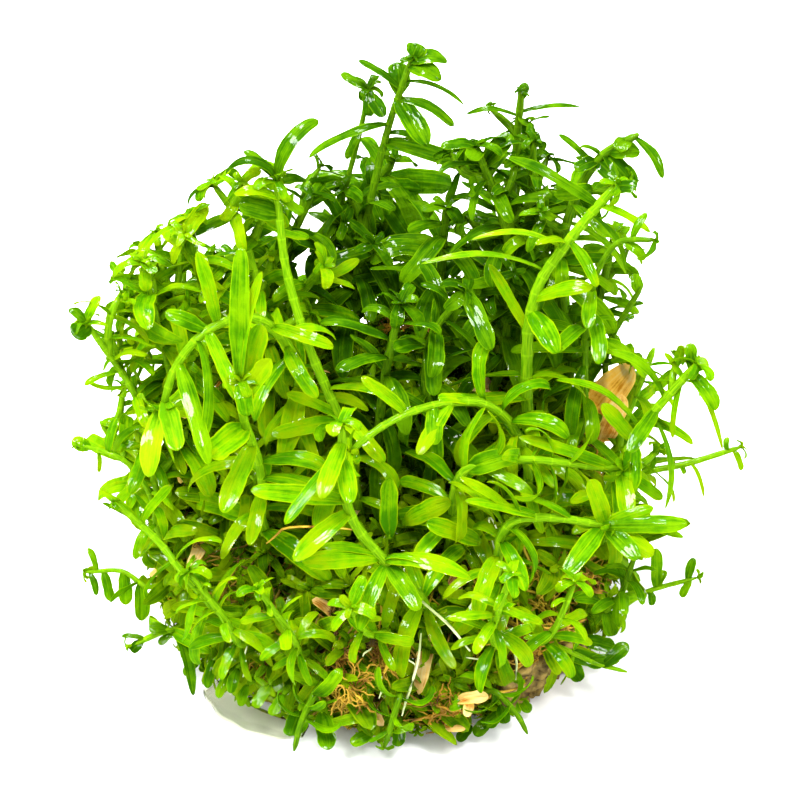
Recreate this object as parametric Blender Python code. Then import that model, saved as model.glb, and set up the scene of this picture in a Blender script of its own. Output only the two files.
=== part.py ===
"""A clump of rotala, an aquarium stem plant, as it comes out of its growing cup.

A mat of tangled brown roots stands on its flat underside. On it is the undergrowth, a cushion that takes up
the room of the crowded small shoots, out to their tips, and is highest at the back. Longer leafy shoots grow
out of both: each is a stem with pairs of leaves, every pair turned a quarter from the last. A scrap of clear
growing gel still clings to the mat's foot. The front of the clump is at -Y and the origin is the middle of
the underside.
"""

import math
import random
from collections import defaultdict, namedtuple

import bmesh
import bpy
from mathutils import Quaternion, Vector
from mathutils.bvhtree import BVHTree

MM = 0.001
UP = Vector((0, 0, 1))
GAP = 0.3 * MM  # kept between any two pieces

# The cushion: roots below, undergrowth above, cut off flat underneath, with a hollow in its crown.
CUSHION_RADIUS = 30.5 * MM
CUSHION_WAIST = 9 * MM  # height of its widest level
CUSHION_HEIGHT = 27 * MM
CUSHION_SLOPE = 0.36  # how much its crown gains in height for each length towards the back
CUSHION_DEPTH = 16 * MM  # how far it would reach below its waist, were it not cut off
CUSHION_SQUARENESS = 2.6
CUSHION_SEGMENTS = 24
CUSHION_LUMPS = ((3, 0.4, 0.022), (5, 2.1, 0.016), (8, 4.0, 0.012))  # waves round it, their start and height
MAT_TOP = 9 * MM  # where the roots end and the undergrowth begins
HOLLOW = Vector((5, -1)) * MM
HOLLOW_DEPTH = 7 * MM
HOLLOW_WIDTH = 10 * MM

# The scrap of gel: a thin crescent that lies on the table against the mat's foot.
GEL_FROM = math.radians(220)
GEL_TO = math.radians(250)
GEL_INNER = 29.2 * MM
GEL_OUTER = 32 * MM
GEL_THICKNESS = 0.9 * MM
GEL_STEPS = 7

# A stem and what grows on it.
STEM_SHARE = 0.081  # a stem's radius at its root over the length of a full-grown leaf
STEM_TAPER = 0.35  # share of the radius that is lost on the way to the tip
STEM_SAMPLES = 48
ROOT_GAP = 0.8 * MM  # from the cushion's surface to the middle of a stem's first ring
ROOT_STRAIGHT = 2 * MM  # a stem leaves the cushion straight, as far as this
SQUARE = math.sqrt(math.pi) / 2  # half a side of the square that has a unit circle's area
NODE_LENGTH = 1.2 * MM  # the short stretch of stem that a pair of leaves springs from
BUD_LENGTH = 1.4 * MM
BUD_SHARE = 0.35  # width of a stem's blunt end beside the stem under it
LEAF_SLENDERNESS = 0.265  # a leaf's width over its length
LEAF_THICKNESS = 0.45 * MM
LEAF_TIP = 0.6  # width of a leaf's blunt end beside its middle
LEAF_MIDDLE = 0.42  # where a leaf is widest
BLADE_START = 0.3  # where a leaf's blade is clear of its own stem, as a share of the way to its middle
LEAF_LENGTHS = (0.88, 1.1)  # how far one leaf's length may be from its shoot's own
LEAF_TILTS = (60, 90)  # degrees between a low leaf and the stem
LEAF_CLOSING = 0.45  # share of that angle that is lost at the tip
LEAF_ARCHES = (25, 90)  # degrees that a leaf bends over on its way to its end
LEAF_TWISTS = (-40, 40)  # degrees that it turns about itself
YOUNG = 0.55  # length of the last pair of leaves beside a full-grown pair
CROWDING = 0.85  # under 1, the pairs come closer together towards the tip
CLEARANCE = 0.2 * MM
QUARTER = math.pi / 2

# How a leaf may turn, tilt and shrink, in order of preference, to miss what is there already.
TURNS = [math.radians(a) for a in (0, 16, -16, 32, -32)]
TILTS = [math.radians(a) for a in (0, 14, -14, 28)]
SIZES = (1, 0.85, 0.7, 0.5)
CELL = 6 * MM  # side of the cells in which obstacles are looked up

# How far a stem that meets another may be moved aside: these reaches, each tried all round.
NUDGES = (1.2 * MM, 2.2 * MM, 3.2 * MM, 4.5 * MM)
NUDGE_WAYS = 8
NUDGE_RISE = 0.3

# Each shoot: its pairs of leaves, a full-grown leaf's length, the bare share of its stem and its route, in
# millimetres. The route starts inside the cushion, and the shoot where the route leaves it.
Shoot = namedtuple("Shoot", "name pairs leaf bare route")
SHOOTS = [
    Shoot("back_tall", 8, 10, 0.15, [(-5, 12, 20), (-2.5, 16, 46), (0.5, 18, 60), (3.5, 18, 70.5)]),
    Shoot("back_thin", 5, 8.5, 0.25, [(-9, 16, 19), (-6, 20, 45), (-3, 21, 58), (-2, 21, 64)]),
    Shoot("left_tall", 6, 10.5, 0.3, [(-3, -9, 20), (-5, -8, 33), (-9, -4, 42), (-12, 1, 51), (-13, 4, 62)]),
    Shoot("left_branch", 5, 9, 0.25, [(-13, 5, 20), (-15, 4, 42), (-18, 8, 53), (-21, 9, 58)]),
    Shoot("left_whorl", 5, 9, 0.2, [(-20, 4, 18), (-26, 3, 40), (-24, 5, 56)]),
    Shoot("left_curl", 5, 8, 0.2, [(-22, -1, 17), (-27, 0, 38), (-29.5, 1, 52)]),
    Shoot("left_far", 5, 7.5, 0.35, [(-26, -5, 15), (-30, -5, 34), (-36, -6, 48)]),
    Shoot("left_arm", 4, 6.5, 0.3, [(-25, -9, 13), (-29, -9, 23), (-32, -8, 28), (-38, -7, 30)]),
    Shoot("left_reach", 4, 8, 0.3, [(-18, -21, 14), (-24, -22, 21), (-28, -19, 25), (-33, -17, 29)]),
    Shoot("left_low_arm", 3, 5.5, 0.25, [(-27, -10, 9), (-33, -9, 11), (-38, -8, 10)]),
    Shoot("left_ground", 3, 6.5, 0.2, [(-22, -15, 8), (-27, -19, 10), (-32, -20, 8)]),
    Shoot(
        "left_arch", 6, 10, 0.4, [(-8, -3, 20), (-10, -5, 42), (-15, -8, 50), (-22, -12, 49), (-26, -15, 42)]
    ),
    Shoot("left_wet", 5, 10.5, 0.3, [(-14, -13, 19), (-15, -15, 32), (-17, -17, 43), (-17, -17.5, 48)]),
    Shoot("centre_arch", 6, 9, 0.25, [(17, -7, 19), (16, -8, 33), (12, -9, 38), (2, -14, 40), (-4, -17, 37)]),
    Shoot("front_main", 6, 10.5, 0.1, [(5, -22, 16), (3, -27, 24), (-4, -25.5, 34), (-5, -22, 45)]),
    Shoot("hollow", 4, 9, 0.4, [(8, -2, 20), (5, -3, 36), (6, -1, 42), (10, 0, 48)]),
    Shoot("right_tall", 6, 10.5, 0.4, [(12, -2, 20), (13, -2, 36), (14, 1, 46), (19, 3, 54), (26, 5, 60)]),
    Shoot("back_right", 6, 9.5, 0.2, [(14, 18, 17), (16, 21, 46), (17, 22, 63)]),
    Shoot("back_dark", 6, 10, 0.2, [(9, 8, 20), (11, 10, 46), (9, 12, 61)]),
    Shoot("back_mid", 5, 9.5, 0.25, [(19, 13, 17), (18, 15, 46), (18.5, 15.5, 60)]),
    Shoot("right_back", 6, 10, 0.25, [(22, 8, 17), (22, 10, 48), (26, 11, 60), (31, 11, 64)]),
    Shoot("right_drop", 6, 9.5, 0.2, [(22, 1, 18), (24, 1, 46), (27, -1, 56), (32, -3, 58)]),
    Shoot("right_small", 4, 7, 0.35, [(26, 6, 13), (28, 7, 34), (32, 7, 44)]),
    Shoot("right_arm", 5, 9.5, 0.25, [(25, -11, 14), (27, -11, 23), (31.5, -9, 34), (38, -7, 42.5)]),
    Shoot("right_far", 4, 6.5, 0.3, [(27, -1, 12), (32, -1, 20), (38, -1, 22), (45, 0, 24)]),
    Shoot("right_front", 5, 9.5, 0.25, [(13, -19, 18), (15, -21, 29), (20, -20, 29), (27, -18, 26)]),
    Shoot("right_mid", 5, 9.5, 0.3, [(8, -14, 20), (9.5, -15, 32), (16, -14.5, 33.5), (29, -12, 30)]),
    Shoot("right_ground_arm", 3, 5.5, 0.3, [(27, -10, 7), (33, -9.5, 8), (39.5, -9, 10)]),
    Shoot("right_ground", 3, 5, 0.25, [(20, -20, 9), (26, -24, 9), (30, -24, 7.5)]),
    Shoot("right_low", 3, 7, 0.2, [(25, -15, 10), (29, -16.5, 13), (31, -16, 20)]),
    Shoot("front_right", 5, 8, 0.2, [(13, -24, 12), (13, -30, 19), (14, -33, 27), (15, -33, 31)]),
    Shoot("front_left", 4, 7, 0.2, [(-16, -23, 11), (-19, -29, 20), (-23.5, -26.5, 26)]),
    Shoot("front_bud", 5, 6.5, 0.2, [(-9, -26, 12), (-11, -30.5, 19), (-15, -31, 27)]),
    Shoot("front_drop_left", 3, 7, 0.3, [(-7, -26, 9), (-8, -32.5, 12.5), (-10, -35, 9.5), (-11, -35.5, 5)]),
    Shoot("front_drop_mid", 3, 7, 0.3, [(1, -26, 8), (2, -32.5, 12), (1, -35, 9.5), (0, -35.5, 5.5)]),
    Shoot("front_drop_right", 3, 6.5, 0.3, [(9, -26, 7), (13, -31, 11), (16, -32.5, 8.5), (17.5, -32.5, 5)]),
    Shoot("front_middle", 4, 7.5, 0.2, [(0, -26, 16), (-2, -31, 20), (-4, -33, 26)]),
    Shoot("front_shelf", 4, 7.5, 0.2, [(18, -23, 12), (21, -27, 18), (23, -26, 24)]),
    Shoot("centre_top", 4, 10.5, 0.25, [(-1, 3, 20), (0, 2, 38), (2, 1, 48)]),
    Shoot("centre_left", 4, 10.5, 0.25, [(-9, 8, 20), (-9, 6, 38), (-6, 4, 48)]),
    Shoot("centre_back", 4, 10.5, 0.25, [(2, 12, 20), (4, 11, 42), (6, 11, 52)]),
    Shoot("back_left", 5, 10, 0.25, [(-15, 14, 18), (-14, 14, 40), (-9, 14, 53)]),
]

# The shoots behind, which the front hides, follow a rule: they stand round the back and lean outwards.
REAR_FROM = math.radians(8)
REAR_TO = math.radians(172)
REAR_COUNT = 9
REAR_ROOT = 24 * MM
REAR_LEAN = 10 * MM
REAR_HEIGHTS = (36 * MM, 46 * MM, 24 * MM)  # taken in turn
REAR_PAIRS = 3
REAR_LEAF = 9
REAR_BARE = 0.25
TURN_STEP = 0.37  # how far each shoot's pairs are turned from those of the one before, in quarter turns


def named_material(name, colour, roughness):
    material = bpy.data.materials.new(name)
    material.use_nodes = True
    shader = material.node_tree.nodes["Principled BSDF"]
    shader.inputs["Base Color"].default_value = (*colour, 1)
    shader.inputs["Roughness"].default_value = roughness
    shader.inputs["Metallic"].default_value = 0
    return material


def placed(name, bm, material, collection):
    """Turns a bmesh into a named object of the collection."""
    bmesh.ops.triangulate(bm, faces=bm.faces, quad_method="SHORT_EDGE")
    bmesh.ops.recalc_face_normals(bm, faces=bm.faces)
    mesh = bpy.data.meshes.new(name)
    bm.to_mesh(mesh)
    bm.free()
    mesh.materials.append(material)
    piece = bpy.data.objects.new(name, mesh)
    collection.objects.link(piece)
    return piece


def cushion():
    """The whole cushion: a sphere pressed squarish, with low lumps round it and the hollow in its crown."""
    bm = bmesh.new()
    bmesh.ops.create_uvsphere(bm, u_segments=CUSHION_SEGMENTS, v_segments=CUSHION_SEGMENTS // 2, radius=1)
    for vertex in bm.verts:
        across, height = vertex.co.xy.length, vertex.co.z
        azimuth = math.atan2(vertex.co.y, vertex.co.x)
        reach = (across**CUSHION_SQUARENESS + abs(height) ** CUSHION_SQUARENESS) ** (-1 / CUSHION_SQUARENESS)
        lumps = 1 + sum(size * math.sin(waves * azimuth + start) for waves, start, size in CUSHION_LUMPS)
        vertex.co.xy *= reach * CUSHION_RADIUS * lumps
        crown = CUSHION_HEIGHT - CUSHION_WAIST + CUSHION_SLOPE * vertex.co.y
        upwards = crown if height > 0 else CUSHION_DEPTH
        from_hollow = (vertex.co.xy - HOLLOW).length / HOLLOW_WIDTH
        dip = HOLLOW_DEPTH * math.exp(-(from_hollow**2)) if height > 0 else 0
        vertex.co.z = CUSHION_WAIST + height * reach * upwards - dip
    return bm


def build_slab(name, low, high, material, collection):
    """The part of the cushion between two levels, closed flat where it is cut."""
    bm = cushion()
    for level, side in ((low, "clear_inner"), (high, "clear_outer")):
        whole = bm.verts[:] + bm.edges[:] + bm.faces[:]
        cut = bmesh.ops.bisect_plane(bm, geom=whole, plane_co=(0, 0, level), plane_no=UP, **{side: True})
        rim = [edge for edge in cut["geom_cut"] if isinstance(edge, bmesh.types.BMEdge)]
        if rim:
            bmesh.ops.edgeloop_fill(bm, edges=rim)
    return placed(name, bm, material, collection)


def build_gel(material, collection):
    """The scrap of gel: a crescent, drawn flat and given its thickness, that lies on the floor."""
    middle, half = (GEL_FROM + GEL_TO) / 2, (GEL_TO - GEL_FROM) / 2
    shares = [2 * step / GEL_STEPS - 1 for step in range(GEL_STEPS + 1)]
    rims = [(share, GEL_INNER) for share in shares]
    rims += [(share, GEL_INNER + (GEL_OUTER - GEL_INNER) * (1 - share * share)) for share in shares[-2:0:-1]]
    outline = bpy.data.curves.new("gel_scrap", "CURVE")
    outline.dimensions = "2D"
    outline.fill_mode = "BOTH"
    outline.extrude = GEL_THICKNESS / 2
    spline = outline.splines.new("POLY")
    spline.points.add(len(rims) - 1)
    spline.use_cyclic_u = True
    for point, (share, radius) in zip(spline.points, rims):
        azimuth = middle + share * half
        point.co = (radius * math.cos(azimuth), radius * math.sin(azimuth), 0, 1)
    piece = bpy.data.objects.new("gel_scrap", outline)
    piece.location.z = GEL_THICKNESS / 2
    outline.materials.append(material)
    collection.objects.link(piece)
    return piece


class Stem:
    """A smooth line through a route, with a direction and a sideways vector that doesn't spin along it."""

    def __init__(self, route, radius):
        spans = [route[0] * 2 - route[1], *route, route[-1] * 2 - route[-2]]
        fine = [
            catmull_rom(spans[i : i + 4], step / STEM_SAMPLES)
            for i in range(len(route) - 1)
            for step in range(STEM_SAMPLES)
        ]
        fine.append(route[-1].copy())
        walked = [0.0]
        for a, b in zip(fine, fine[1:]):
            walked.append(walked[-1] + (b - a).length)
        self.length, self.radius = walked[-1], radius
        self.points, index = [], 0
        for step in range(STEM_SAMPLES + 1):
            target = self.length * step / STEM_SAMPLES
            while index < len(fine) - 2 and walked[index + 1] < target:
                index += 1
            share = (target - walked[index]) / max(walked[index + 1] - walked[index], 1e-9)
            self.points.append(fine[index].lerp(fine[index + 1], share))
        ends = [self.points[0], *self.points, self.points[-1]]
        self.directions = [(after - before).normalized() for before, after in zip(ends, ends[2:])]
        self.sides = [self.directions[0].orthogonal().normalized()]
        for before, after in zip(self.directions, self.directions[1:]):
            self.sides.append(before.rotation_difference(after) @ self.sides[-1])

    def at(self, share):
        """The place, direction and sideways vector at a share of the length."""
        step = min(max(share, 0), 1) * STEM_SAMPLES
        low = min(int(step), STEM_SAMPLES - 1)
        part = step - low
        direction = self.directions[low].lerp(self.directions[low + 1], part).normalized()
        side = self.sides[low].lerp(self.sides[low + 1], part)
        return self.points[low].lerp(self.points[low + 1], part), direction, side.normalized()

    def radius_at(self, share):
        return self.radius * (1 - STEM_TAPER * share)

    def ring(self, share, roll, width=1.0, grow=0.0):
        """Four corners round the stem, whose sides face roll and each quarter turn from it."""
        centre, direction, side = self.at(share)
        reach = (self.radius_at(share) * width * SQUARE + grow) * math.sqrt(2)
        return [
            centre + reach * (Quaternion(direction, roll - QUARTER / 2 + corner * QUARTER) @ side)
            for corner in range(4)
        ]


def catmull_rom(points, share):
    """A point between the middle two of four, on a curve that stays smooth where their spacing changes."""
    a, b, c, d = points
    knots = [0.0]
    for before, after in zip(points, points[1:]):
        knots.append(knots[-1] + max((after - before).length, MM) ** 0.5)
    t0, t1, t2, t3 = knots
    t = t1 + (t2 - t1) * share
    ab = a.lerp(b, (t - t0) / (t1 - t0))
    bc = b.lerp(c, (t - t1) / (t2 - t1))
    cd = c.lerp(d, (t - t2) / (t3 - t2))
    abc = ab.lerp(bc, (t - t0) / (t2 - t0))
    bcd = bc.lerp(cd, (t - t1) / (t3 - t1))
    return abc.lerp(bcd, (t - t1) / (t2 - t1))


class Leaf:
    """A blade that springs from base towards direction and arches away from where its normal faces."""

    def __init__(self, base, direction, across, length, arch, twist):
        self.base, self.direction, self.across = base, direction, across
        self.normal = direction.cross(across)
        self.length, self.arch, self.twist = length, arch, twist
        self.half_width = length * LEAF_SLENDERNESS / 2

    def section(self, share, width=1.0, grow=0.0):
        """Four corners round the leaf: the two of its underside, then the two above them."""
        turn = self.arch * share
        along, down = math.sin(turn) / self.arch, (1 - math.cos(turn)) / self.arch
        centre = self.base + self.length * (along * self.direction - down * self.normal)
        normal = math.cos(turn) * self.normal + math.sin(turn) * self.direction
        roll = self.twist * share
        across = math.cos(roll) * self.across + math.sin(roll) * normal
        normal = math.cos(roll) * normal - math.sin(roll) * self.across
        side = across * (self.half_width * width + grow)
        lift = normal * (LEAF_THICKNESS / 2 + grow)
        return [centre - side - lift, centre + side - lift, centre - side + lift, centre + side + lift]

    def blade(self, start):
        """The leaf from start, a share of the way to its middle, a little enlarged: rings of four corners."""
        foot = [self.base + part * (self.half_width / 2) * self.across for part in (-1, 1, -1, 1)]
        middle = self.section(LEAF_MIDDLE, grow=CLEARANCE)
        first = [low.lerp(high, start) for low, high in zip(foot, middle)]
        rings = [first, middle, self.section(1, LEAF_TIP, grow=CLEARANCE)]
        return [[a, b, d, c] for a, b, c, d in rings]


class Obstacles:
    """The shapes already placed, looked up by the cells of space that they reach."""

    def __init__(self):
        self.cells = defaultdict(list)

    def cells_of(self, points):
        low = [int(min(p[axis] for p in points) // CELL) for axis in range(3)]
        high = [int(max(p[axis] for p in points) // CELL) for axis in range(3)]
        return [
            (x, y, z)
            for x in range(low[0], high[0] + 1)
            for y in range(low[1], high[1] + 1)
            for z in range(low[2], high[2] + 1)
        ]

    def add(self, points, tree):
        for cell in self.cells_of(points):
            self.cells[cell].append(tree)

    def meets(self, points, tree, but=None):
        near = {id(other): other for cell in self.cells_of(points) for other in self.cells[cell]}
        return any(other is not but and tree.overlap(other) for other in near.values())


def tube(rings):
    """Points and faces of a closed tube through rings of four corners, and its tree for overlap tests."""
    points = [corner for ring in rings for corner in ring]
    faces = [(3, 2, 1, 0), tuple(len(points) - 4 + corner for corner in range(4))]
    for start in range(0, len(points) - 4, 4):
        for corner in range(4):
            after = (corner + 1) % 4
            faces.append((start + corner, start + after, start + 4 + after, start + 4 + corner))
    return points, BVHTree.FromPolygons(points, faces)


def pair_shares(shoot, stem):
    """Where along the stem the middles of the pairs of leaves are: closer together towards the tip."""
    last = 1 - (BUD_LENGTH + NODE_LENGTH) / stem.length
    steps = [(index / (shoot.pairs - 1)) ** CROWDING for index in range(shoot.pairs)]
    return [shoot.bare + (last - shoot.bare) * step for step in steps]


def ring_shares(shoot, stem):
    """Where along the stem its rings are: two round each pair of leaves, and one at each end."""
    half = NODE_LENGTH / stem.length / 2
    around = [share + part * half for share in pair_shares(shoot, stem) for part in (-1, 1)]
    return [0.0, *around, 1.0]


def stem_shape(shoot, stem, roll):
    shares = ring_shares(shoot, stem)
    return tube([stem.ring(share, roll, grow=CLEARANCE) for share in shares])


def rooted_route(route, ground):
    """The route from just outside the cushion: straight out of it, then on through the listed points."""
    inwards = (route[0] - route[1]).normalized()
    surface, normal, _, _ = ground.ray_cast(route[1], inwards)
    return [surface + normal * ROOT_GAP, surface + normal * ROOT_STRAIGHT, *route[1:]]


def nudges():
    """Sideways moves to try on a stem that meets another, from none to several millimetres."""
    yield Vector((0, 0, 0))
    for reach in NUDGES:
        for step in range(NUDGE_WAYS):
            angle = step * 4 * QUARTER / NUDGE_WAYS
            yield Vector((math.cos(angle), math.sin(angle), NUDGE_RISE * math.cos(2 * angle))) * reach


def place_stem(shoot, roll, ground, obstacles):
    """The first nudged stem that meets nothing. It is then an obstacle itself."""
    listed = [Vector(point) * MM for point in shoot.route]
    for move in nudges():
        moved = [*[point + move for point in listed[:-1]], listed[-1] + move / 2]
        stem = Stem(rooted_route(moved, ground), shoot.leaf * MM * STEM_SHARE)
        points, tree = stem_shape(shoot, stem, roll)
        if not obstacles.meets(points, tree):
            obstacles.add(points, tree)
            stem.tree = tree
            return stem
    raise ValueError(f"no room for the stem of {shoot.name}")


def place_leaf(stem, share, facing, length, rng, obstacles):
    """The first turned, tilted or shortened leaf that meets nothing, or None."""
    centre, direction, side = stem.at(share)
    tilt = math.radians(rng.uniform(*LEAF_TILTS)) * (1 - LEAF_CLOSING * share**3)
    arch = math.radians(rng.uniform(*LEAF_ARCHES))
    twist = math.radians(rng.uniform(*LEAF_TWISTS))
    for size in SIZES:
        for turn in TURNS:
            outward = Quaternion(direction, facing + turn) @ side
            base = centre + (Quaternion(direction, facing) @ side) * stem.radius_at(share) * SQUARE
            across = direction.cross(outward)
            for lean in TILTS:
                heading = math.cos(tilt + lean) * direction + math.sin(tilt + lean) * outward
                leaf = Leaf(base, heading, across, length * size, arch, twist)
                points, tree = tube(leaf.blade(0))
                if min(point.z for point in points) < GAP or obstacles.meets(points, tree, but=stem.tree):
                    continue
                if not tube(leaf.blade(BLADE_START))[1].overlap(stem.tree):
                    obstacles.add(points, tree)
                    return leaf
    return None


def place_leaves(shoot, stem, roll, rng, obstacles):
    """Two leaves for each pair, opposite each other, each pair a quarter turn on from the last."""
    placed_leaves = {}
    for index, share in enumerate(pair_shares(shoot, stem)):
        grown = 1 - (1 - YOUNG) * (index / (shoot.pairs - 1)) ** 3
        for opposite in (0, 2):
            length = shoot.leaf * MM * grown * rng.uniform(*LEAF_LENGTHS)
            side = (index + opposite) % 4
            facing = roll + side * QUARTER
            placed_leaves[index, side] = place_leaf(stem, share, facing, length, rng, obstacles)
    return placed_leaves


def nearest(corners, place):
    return min(range(4), key=lambda corner: (place - corners[corner]).length_squared)


def drawn_out(bm, face, before, after):
    """Extrudes a face whose corners are at before, and moves each new corner to its place in after."""
    new = bmesh.ops.extrude_discrete_faces(bm, faces=[face])["faces"][0]
    for vertex in new.verts:
        vertex.co = after[nearest(before, vertex.co)]
    return new


def grow_leaf(bm, face, foot, leaf):
    """Draws a leaf out of one side of the stem: to its middle and on to its tip, whose faces then meet."""
    middle, end = leaf.section(LEAF_MIDDLE), leaf.section(1, LEAF_TIP)
    tip = drawn_out(bm, drawn_out(bm, face, foot, middle), middle, end)
    corners = {nearest(end, vertex.co): vertex for vertex in tip.verts}
    for under, above in ((0, 2), (1, 3)):
        pair = [corners[under], corners[above]]
        bmesh.ops.pointmerge(bm, verts=pair, merge_co=(end[under] + end[above]) / 2)


def build_shoot(shoot, stem, roll, leaves, material, collection):
    """One solid: the stem, drawn out ring by ring, and the leaves, drawn out of the stretches with pairs."""
    bm = bmesh.new()
    shares = ring_shares(shoot, stem)
    rings = [stem.ring(share, roll) for share in shares[:-1]]
    rings.append(stem.ring(1, roll, width=BUD_SHARE))
    bmesh.ops.create_cone(bm, cap_ends=True, segments=4, radius1=1, radius2=1, depth=1)
    caps = sorted((face for face in bm.faces if abs(face.normal.z) > 0.5), key=lambda face: face.normal.z)
    for cap, ring in zip(caps, rings):
        for vertex in cap.verts:
            turn = math.atan2(vertex.co.y, vertex.co.x) / QUARTER
            vertex.co = ring[round(turn) % 4]
    top = caps[1]
    for before, after in zip(rings[1:], rings[2:]):
        top = drawn_out(bm, top, before, after)
    for (index, side), leaf in leaves.items():
        if leaf is None:
            continue
        low, high = rings[1 + 2 * index], rings[2 + 2 * index]
        foot = [low[side], low[(side + 1) % 4], high[side], high[(side + 1) % 4]]
        middle = sum(foot, Vector()) / 4
        face = min(bm.faces, key=lambda face: (face.calc_center_median() - middle).length_squared)
        grow_leaf(bm, face, foot, leaf)
    return placed("shoot_" + shoot.name, bm, material, collection)


def rear_shoots():
    """The shoots round the back, from their rule: the lower they are, the further they lean."""
    made = []
    for index in range(REAR_COUNT):
        azimuth = REAR_FROM + (REAR_TO - REAR_FROM) * index / (REAR_COUNT - 1)
        out = Vector((math.cos(azimuth), math.sin(azimuth), 0))
        height = REAR_HEIGHTS[index % len(REAR_HEIGHTS)]
        lean = REAR_LEAN * (1 + REAR_HEIGHTS[0] / height) / 2
        root = out * REAR_ROOT + UP * height * 0.35
        waist = out * (REAR_ROOT + lean * 0.6) + UP * height * 0.6
        tip = out * (REAR_ROOT + lean) + UP * height
        route = [point / MM for point in (root, waist, tip)]
        made.append(Shoot(f"rear_{index + 1:02d}", REAR_PAIRS, REAR_LEAF, REAR_BARE, route))
    return made


def main():
    for obj in list(bpy.data.objects):
        bpy.data.objects.remove(obj)
    collection = bpy.data.collections.new("rotala_clump")
    bpy.context.scene.collection.children.link(collection)
    brown = named_material("root_mat", (0.17, 0.09, 0.035), 0.85)
    clear = named_material("gel", (0.75, 0.8, 0.65), 0.15)
    green = named_material("rotala_leaf", (0.2, 0.5, 0.02), 0.3)
    dark_green = named_material("undergrowth", (0.09, 0.22, 0.012), 0.5)
    build_slab("root_mat", 0, MAT_TOP, brown, collection)
    build_slab("undergrowth", MAT_TOP + GAP, CUSHION_HEIGHT * 2, dark_green, collection)
    build_gel(clear, collection)
    whole = cushion()
    ground = BVHTree.FromBMesh(whole)
    obstacles = Obstacles()
    obstacles.add([vertex.co for vertex in whole.verts], ground)
    whole.free()
    shoots = SHOOTS + rear_shoots()
    rolls = [QUARTER * (TURN_STEP * index % 1) for index in range(len(shoots))]
    stems = [place_stem(shoot, roll, ground, obstacles) for shoot, roll in zip(shoots, rolls)]
    for index, (shoot, stem, roll) in enumerate(zip(shoots, stems, rolls)):
        leaves = place_leaves(shoot, stem, roll, random.Random(index), obstacles)
        build_shoot(shoot, stem, roll, leaves, green, collection)


main()
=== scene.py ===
"""The looks of a clump of rotala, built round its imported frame.

The long shoots grow by the same rules as in the frame, so that every fine stem and leaf lies where its solid
does. The undergrowth's cushion is filled with small shoots, and the root mat with fibres. The front is at -Y.
"""

import math
import random
from collections import defaultdict, namedtuple

import bmesh
import bpy
import numpy as np
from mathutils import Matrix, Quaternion, Vector, noise
from mathutils.bvhtree import BVHTree


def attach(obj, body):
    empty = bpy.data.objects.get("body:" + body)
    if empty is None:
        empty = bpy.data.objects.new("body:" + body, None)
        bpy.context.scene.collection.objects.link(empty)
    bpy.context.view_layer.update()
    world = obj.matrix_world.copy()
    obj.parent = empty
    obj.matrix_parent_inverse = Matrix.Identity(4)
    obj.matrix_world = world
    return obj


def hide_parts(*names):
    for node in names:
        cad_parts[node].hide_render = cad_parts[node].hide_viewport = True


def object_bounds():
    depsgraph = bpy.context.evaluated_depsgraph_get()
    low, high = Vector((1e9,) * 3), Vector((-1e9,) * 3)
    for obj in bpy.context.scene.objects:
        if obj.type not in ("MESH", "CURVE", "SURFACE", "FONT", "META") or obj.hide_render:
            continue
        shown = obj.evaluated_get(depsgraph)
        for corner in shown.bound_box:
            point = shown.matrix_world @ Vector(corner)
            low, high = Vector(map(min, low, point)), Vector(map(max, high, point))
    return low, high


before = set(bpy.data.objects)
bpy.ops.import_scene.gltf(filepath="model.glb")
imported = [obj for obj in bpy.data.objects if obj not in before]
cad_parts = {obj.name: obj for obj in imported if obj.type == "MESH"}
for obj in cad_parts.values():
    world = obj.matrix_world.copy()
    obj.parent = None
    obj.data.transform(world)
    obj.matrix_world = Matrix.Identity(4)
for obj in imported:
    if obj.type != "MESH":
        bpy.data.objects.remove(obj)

CAD_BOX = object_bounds()

MM = 0.001
UP = Vector((0, 0, 1))
GAP = 0.3 * MM  # kept between any two pieces

# The cushion: roots below, undergrowth above, cut off flat underneath, with a hollow in its crown.
CUSHION_RADIUS = 30.5 * MM
CUSHION_WAIST = 9 * MM  # height of its widest level
CUSHION_HEIGHT = 27 * MM
CUSHION_SLOPE = 0.36  # how much its crown gains in height for each length towards the back
CUSHION_DEPTH = 16 * MM  # how far it would reach below its waist, were it not cut off
CUSHION_SQUARENESS = 2.6
CUSHION_SEGMENTS = 24
CUSHION_LUMPS = ((3, 0.4, 0.022), (5, 2.1, 0.016), (8, 4.0, 0.012))  # waves round it, start and height
HOLLOW = Vector((5, -1)) * MM
HOLLOW_DEPTH = 7 * MM
HOLLOW_WIDTH = 10 * MM

# The scrap of gel: a thin crescent that lies on the table against the mat's foot.
GEL_FROM = math.radians(220)
GEL_TO = math.radians(250)
GEL_INNER = 29.2 * MM
GEL_OUTER = 32 * MM
GEL_THICKNESS = 0.9 * MM

# A stem and what grows on it.
STEM_SHARE = 0.081  # a stem's radius at its root over the length of a full-grown leaf
STEM_TAPER = 0.35  # share of the radius that is lost on the way to the tip
STEM_SAMPLES = 48
ROOT_GAP = 0.8 * MM  # from the cushion's surface to the middle of a stem's first ring
ROOT_STRAIGHT = 2 * MM  # a stem leaves the cushion straight, as far as this
SQUARE = math.sqrt(math.pi) / 2  # half a side of the square that has a unit circle's area
NODE_LENGTH = 1.2 * MM  # the short stretch of stem that a pair of leaves springs from
BUD_LENGTH = 1.4 * MM
LEAF_SLENDERNESS = 0.265  # a leaf's width over its length
LEAF_THICKNESS = 0.45 * MM
LEAF_TIP = 0.6  # width of a leaf's blunt end beside its middle
LEAF_MIDDLE = 0.42  # where a leaf is widest
BLADE_START = 0.3  # where a leaf's blade is clear of its own stem, as a share of the way to its middle
LEAF_LENGTHS = (0.88, 1.1)  # how far one leaf's length may be from its shoot's own
LEAF_TILTS = (60, 90)  # degrees between a low leaf and the stem
LEAF_CLOSING = 0.45  # share of that angle that is lost at the tip
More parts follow.
